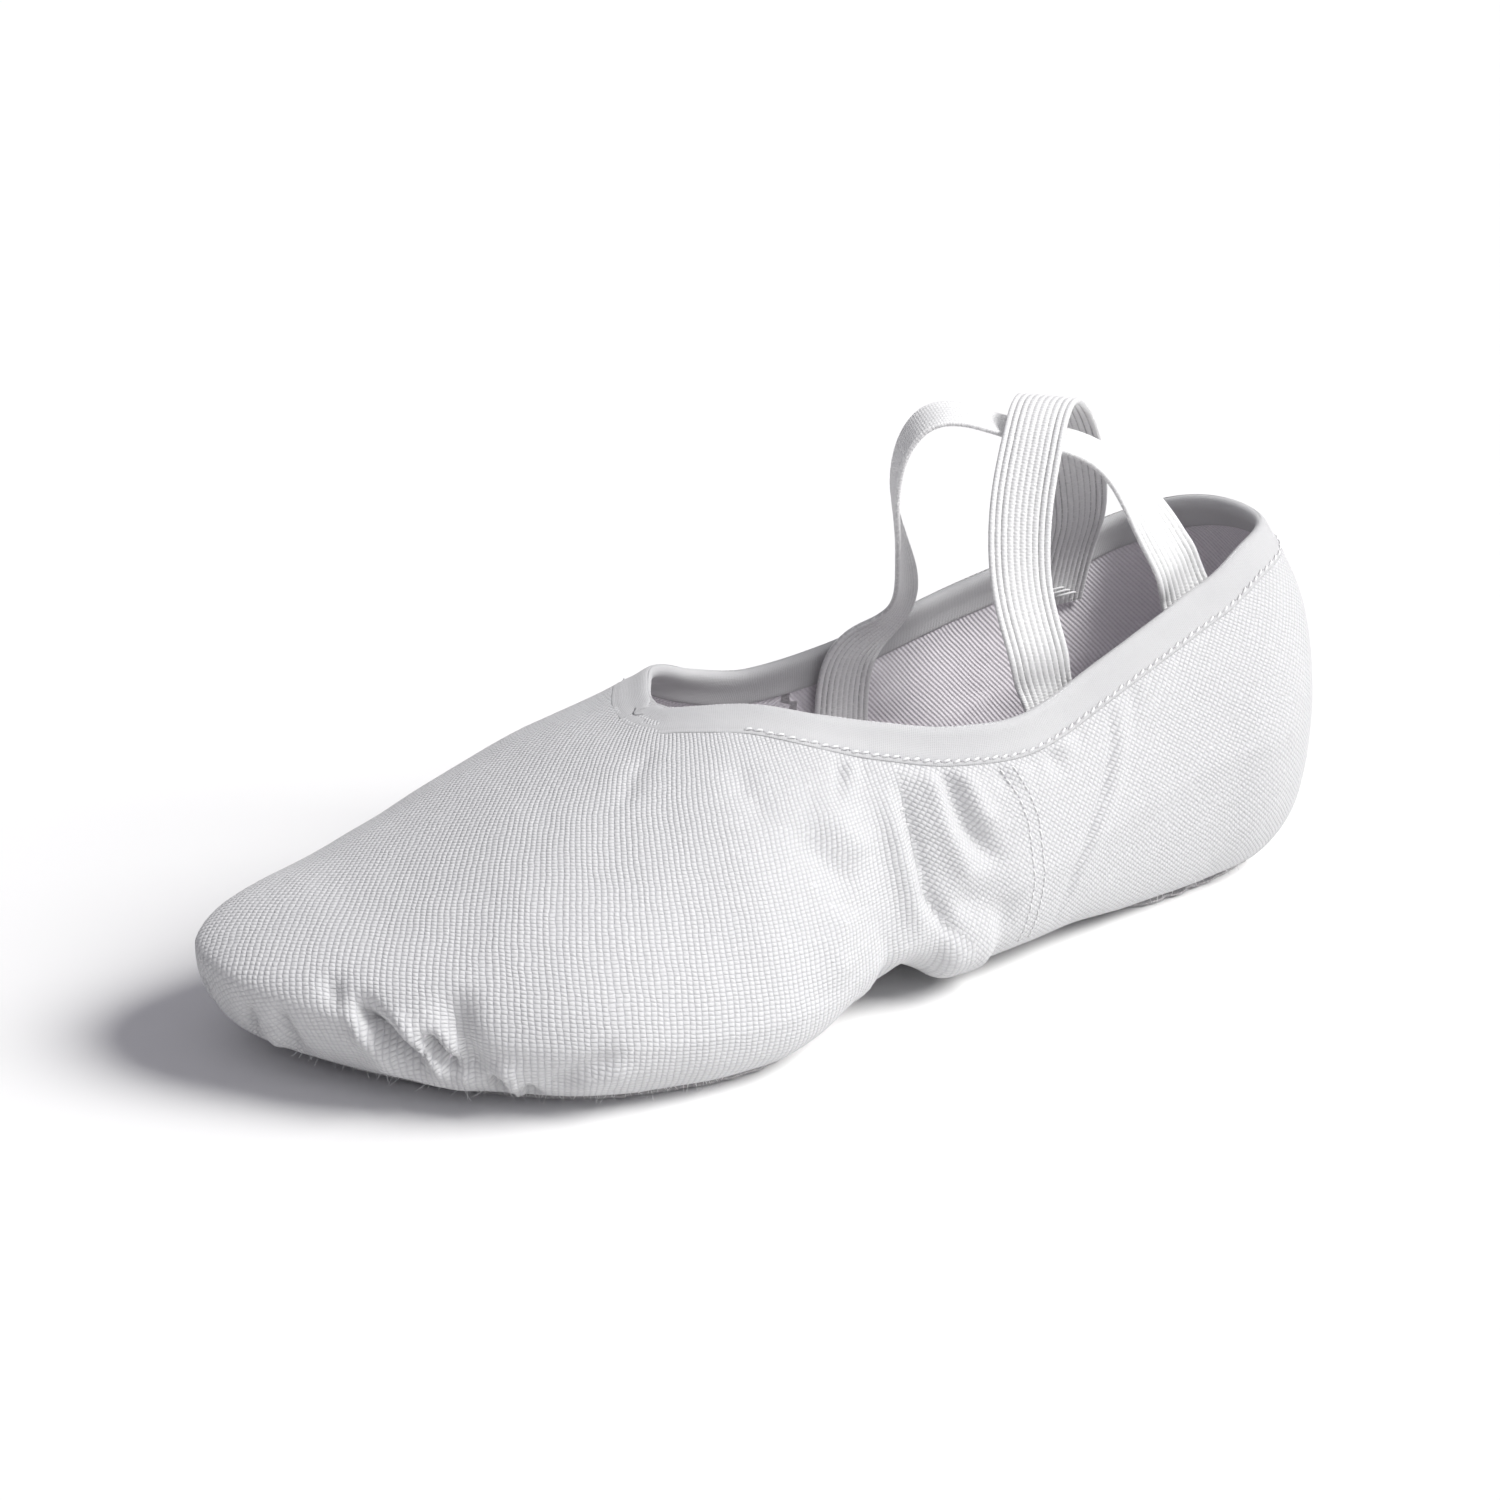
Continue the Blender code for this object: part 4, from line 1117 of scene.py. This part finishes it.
def elastic_material():
    """Ribbed elastic: fine threads across it over the ribs, with painted shade in the grooves, darkest in the
    bold grooves.
    """
    graph = Graph("ribbed_elastic", 0.62)
    u, v = graph.weave_map()
    groove = graph.math("ABSOLUTE", graph.math("SINE", u * (math.pi * ELASTIC_RIBS * MM / ELASTIC_WIDTH)))
    edge = graph.math("ABSOLUTE", graph.math("ABSOLUTE", u) - BOLD_GROOVE)
    fuzz = graph.noise(1400.0, 2.0, 0.6)
    # Painted shade: the grooves between the ribs are darker, and the bold grooves darkest.
    groove_shade = graph.ramp(edge, 0.9, 1.8, (0.42, 0.415, 0.42), (0.575, 0.57, 0.575))
    colour = graph.ramp(groove, 0.0, 0.5, groove_shade, (0.74, 0.74, 0.74))
    toned = graph.ramp(fuzz, 0.45, 0.75, colour, (0.78, 0.78, 0.775))
    height = graph.wave(v, 0.62) * 0.35 + graph.wave(u * 0.55 + v, 0.9) * 0.25 + fuzz
    return graph.finish(toned, height, 0.00006, 0.15)


def lining_material():
    """The cotton lining: a twill whose ribs run on the slant. Its mauve-grey tint is painted shade on
    near-white cotton, and its low places are darker with painted shade.
    """
    graph = Graph("cotton_lining", 0.95)
    u, v = graph.weave_map()
    wander = graph.noise(60.0) * 1.2 - 0.6
    height = graph.wave(v + wander, 0.9) * 0.3 + graph.wave(u + wander, LINING_PITCH)
    # The mauve-grey tint is painted shade; the noise only varies the tone.
    base = graph.ramp(graph.noise(45.0, 3.0, 0.55), 0.3, 0.7, (0.80, 0.765, 0.80), (0.86, 0.83, 0.86))
    # Painted shade: darker in the twill's low places.
    colour = graph.ramp(height, -1.1, 0.3, (0.70, 0.665, 0.705), base)
    return graph.finish(colour, height, 0.00007, 0.15)


def suede_material():
    """Sueded leather: a short uneven nap, rubbed paler on its high places."""
    graph = Graph("grey_suede", 0.96)
    nap = graph.noise(1500.0, 3.0, 0.65)
    base = graph.ramp(graph.noise(90.0, 4.0, 0.6), 0.32, 0.7, (0.30, 0.29, 0.30), (0.44, 0.43, 0.435))
    colour = graph.ramp(nap, 0.40, 0.75, base, (0.58, 0.57, 0.575))
    return graph.finish(colour, graph.noise(420.0, 4.0, 0.6) * 0.8 + nap, 0.00025, 0.4)


def thread_material(name, colour):
    """Spun thread, with the twist of its plies."""
    graph = Graph(name, 0.7)
    twist = graph.noise(2600.0, 2.0, 0.6)
    toned = graph.ramp(twist, 0.35, 0.7, tint(colour, 0.9), colour)
    return graph.finish(toned, twist, 0.00005, 0.2, 0.8)


def floor_material():
    graph = Graph("white_floor", 0.9)
    cloud = graph.noise(3.0)
    graph.shader.inputs["Specular IOR Level"].default_value = 0.0
    colour = graph.mix(cloud, (0.955, 0.955, 0.96), (0.965, 0.965, 0.97))
    return graph.finish(colour, cloud, 0.00001, strength=0.1)


# Lint and frayed ends along the forefoot's lower edge: (side, from, to, count) round the feather edge.
FRAY = ((LATERAL, 18.0, 72.0, 60), (LATERAL, 72.0, 112.0, 46), (LATERAL, 232.0, 262.0, 12),
        (MEDIAL, 4.0, 60.0, 34))


def frayed_threads(skin, bits):
    turn = np.random.default_rng(7)
    for side, first, last_place, count in FRAY:
        for k in range(count):
            around = first + (last_place - first) * (k + turn.uniform(0, 1)) / count
            point, normal = skin.read(side, around, turn.uniform(0.5, 5.0))
            reach = turn.uniform(0.8, 3.2) * MM
            lean = np.array([turn.uniform(-1, 1), turn.uniform(-1, 1), turn.uniform(-0.5, 0.1)])
            tip = point + normal * reach * 0.5 + lean * reach * 0.6
            tip[2] = max(tip[2], 0.3 * MM)
            bend = (point + tip) / 2 + np.array([0, 0, turn.uniform(-0.3, 0.4) * MM])
            s = np.linspace(0, 1, 6)[:, None]
            path = point * (1 - s) ** 2 + 2 * bend * s * (1 - s) + tip * s * s
            bits.tube(path, np.linspace(0.085, 0.03, 6) * MM, 4)


def thread_loops(middle, bits):
    """The loose loops of thread at the sewn end of the over elastic, inside the medial wall."""
    place = OVER_END[1] * LENGTH
    height = float(collar_height(place, MEDIAL)) - BINDING_HEIGHT - 1.0 * MM
    s = np.linspace(0, math.pi, 12)
    loop = np.stack([1.1 * np.sin(s), -2.6 * np.cos(s), 0.8 * np.sin(s)], 1) * MM
    for k in range(3):
        spot = wall_point(place - (2.5 - 1.6 * k) * MM, MEDIAL, height - 0.9 * k * MM, UPPER_WALL + 3.2 * MM)
        bits.tube(spot - middle + loop, 0.24 * MM, 6)


def stage_object(name, material, shape, **sizes):
    """A plain form round the shoe, made by one of bmesh's own operators."""
    mesh = bpy.data.meshes.new(name)
    form = bmesh.new()
    shape(form, **sizes)
    form.to_mesh(mesh)
    form.free()
    obj = new_object(name, mesh, material)
    return obj


def make_floor():
    return stage_object("floor", floor_material(), bmesh.ops.create_grid,
                        x_segments=8, y_segments=8, size=6.0)


def make_backdrop():
    """A far white wall that only the camera sees, so that a low view has no horizon."""
    material = bpy.data.materials.new("white_wall")
    material.use_nodes = True
    shader = material.node_tree.nodes["Principled BSDF"]
    shader.inputs["Base Color"].default_value = (0.0, 0.0, 0.0, 1.0)
    shader.inputs["Emission Color"].default_value = (1.0, 1.0, 1.0, 1.0)
    shader.inputs["Emission Strength"].default_value = 1.0
    wall = stage_object("backdrop", material, bmesh.ops.create_cone, cap_ends=False, segments=96,
                        radius1=5.8, radius2=5.8, depth=8.0)
    for rays in ("diffuse", "glossy", "transmission", "shadow"):
        setattr(wall, "visible_" + rays, False)


# The camera stands over the lateral side and the toe, and looks at the middle of the shoe.
CAMERA_PLACE = (0.7239, -0.4723, 0.4242)
CAMERA_AIM = (0.0043, -0.0162, 0.0505)
CAMERA_LENS = 112.0
SENSOR = 36.0


def make_camera():
    data = bpy.data.cameras.new("camera")
    data.lens = CAMERA_LENS
    data.sensor_width = SENSOR
    data.clip_start, data.clip_end = 0.01, 50.0
    camera = bpy.data.objects.new("camera", data)
    bpy.context.scene.collection.objects.link(camera)
    camera.location = CAMERA_PLACE
    look = Vector(CAMERA_AIM) - Vector(CAMERA_PLACE)
    camera.rotation_euler = look.to_track_quat("-Z", "Y").to_euler()
    bpy.context.scene.camera = camera


def add_light(name, kind, towards, power, colour, size, targets):
    """A light that shines on to the shoe from a direction. targets is its set of receivers."""
    data = bpy.data.lights.new(name, kind)
    data.energy = power
    data.color = colour
    if kind == "SUN":
        data.angle = size
    else:
        data.shape = "DISK"
        data.size = size
    light = bpy.data.objects.new(name, data)
    bpy.context.scene.collection.objects.link(light)
    light.location = towards
    light.rotation_euler = Vector(towards).to_track_quat("Z", "Y").to_euler()
    light.light_linking.receiver_collection = targets


def make_light(floor):
    """A white sweep lit on its own, from lower down, so that it burns out and the shadow lies long."""
    world = bpy.data.worlds.new("studio")
    world.use_nodes = True
    background = world.node_tree.nodes["Background"]
    background.inputs["Color"].default_value = (0.93, 0.915, 1.0, 1.0)
    background.inputs["Strength"].default_value = 0.30
    bpy.context.scene.world = world
    only_floor = bpy.data.collections.new("only_floor")
    only_floor.objects.link(floor)
    not_floor = bpy.data.collections.new("not_floor")
    not_floor.objects.link(floor)
    not_floor.collection_objects[0].light_linking.link_state = "EXCLUDE"
    add_light("key", "SUN", (0.47, 0.46, 0.75), 2.55, (1.0, 0.995, 0.985), math.radians(18), not_floor)
    add_light("sweep", "SUN", (0.40, 0.66, 0.58), 4.15, (1.0, 0.995, 0.97), math.radians(34), only_floor)
    add_light("fill", "AREA", (1.1, 0.05, 0.45), 3.6, (1.0, 1.0, 1.0), 1.0, not_floor)
    add_light("top", "AREA", (0.25, 0.55, 1.25), 7.8, (1.0, 1.0, 1.0), 1.3, not_floor)
    view = bpy.context.scene.view_settings
    view.view_transform = "Standard"
    view.look = "None"
    view.exposure = 0.0
    view.gamma = 1.0


def keep(obj, node):
    """A piece that stands for a CAD node, or is added to the shoe."""
    if node:
        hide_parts(node)
    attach(obj, "root")


def main():
    make_camera()
    floor = make_floor()
    make_backdrop()
    make_light(floor)

    canvas = canvas_material("white_canvas", (0.645, 0.645, 0.65), (0.545, 0.545, 0.56))
    tape_cloth = tape_material()
    lining = lining_material()
    elastic = elastic_material()
    suede = suede_material()
    thread = thread_material("white_thread", (0.82, 0.82, 0.82))
    # The needle holes' darkness is painted shade.
    shade = thread_material("needle_hole_shade", (0.40, 0.39, 0.41))

    last = Last()
    skin = Skin(last)
    keep(make_upper(skin, canvas), "upper")
    keep(make_lining(skin, lining), None)
    tape = Tape(skin)
    keep(make_tape(tape, tape_cloth), "collar_binding")

    stitches, holes, ends, fray = (Bits() for _ in range(4))
    tape_stitches(tape, stitches, holes)
    seam_stitches(skin, stitches, holes)
    over = make_elastic(last, "elastic_over", elastic, OVER_START, OVER_ROUTE, OVER_END, OVER_FLAT)
    under = make_elastic(last, "elastic_under", elastic, UNDER_START, UNDER_ROUTE, UNDER_END, UNDER_FLAT)
    keep(over, "elastic_strap_over")
    keep(under, "elastic_strap_under")
    thread_loops(last.middle, ends)
    frayed_threads(skin, fray)
    keep(stitches.object("stitches", thread), None)
    keep(holes.object("needle_hole_shade", shade), None)
    keep(ends.object("elastic_stitches", thread), None)
    keep(fray.object("frayed_threads", thread), None)

    for name, node, span, ends_round in (
            ("forefoot_pad", "forefoot_outsole", FOREFOOT_PAD, (None, 16 * MM)),
            ("heel_pad", "heel_outsole", HEEL_PAD, (12 * MM, None))):
        pad = make_sole_sheet(last, name, suede, -PAD_PROUD, span, OUTSOLE_THICKNESS, -CLEARANCE, 0.0,
                              ends_round, 0.8 * MM)
        keep(pad, node)
    sock = make_sole_sheet(last, "insole_sock", lining, INSOLE_INSET, INSOLE_SPAN, INSOLE_THICKNESS,
                           UPPER_WALL + INSOLE_GAP + INSOLE_THICKNESS, INSOLE_BRIDGE, (None, None), 0.3 * MM)
    keep(sock, "insole")


main()
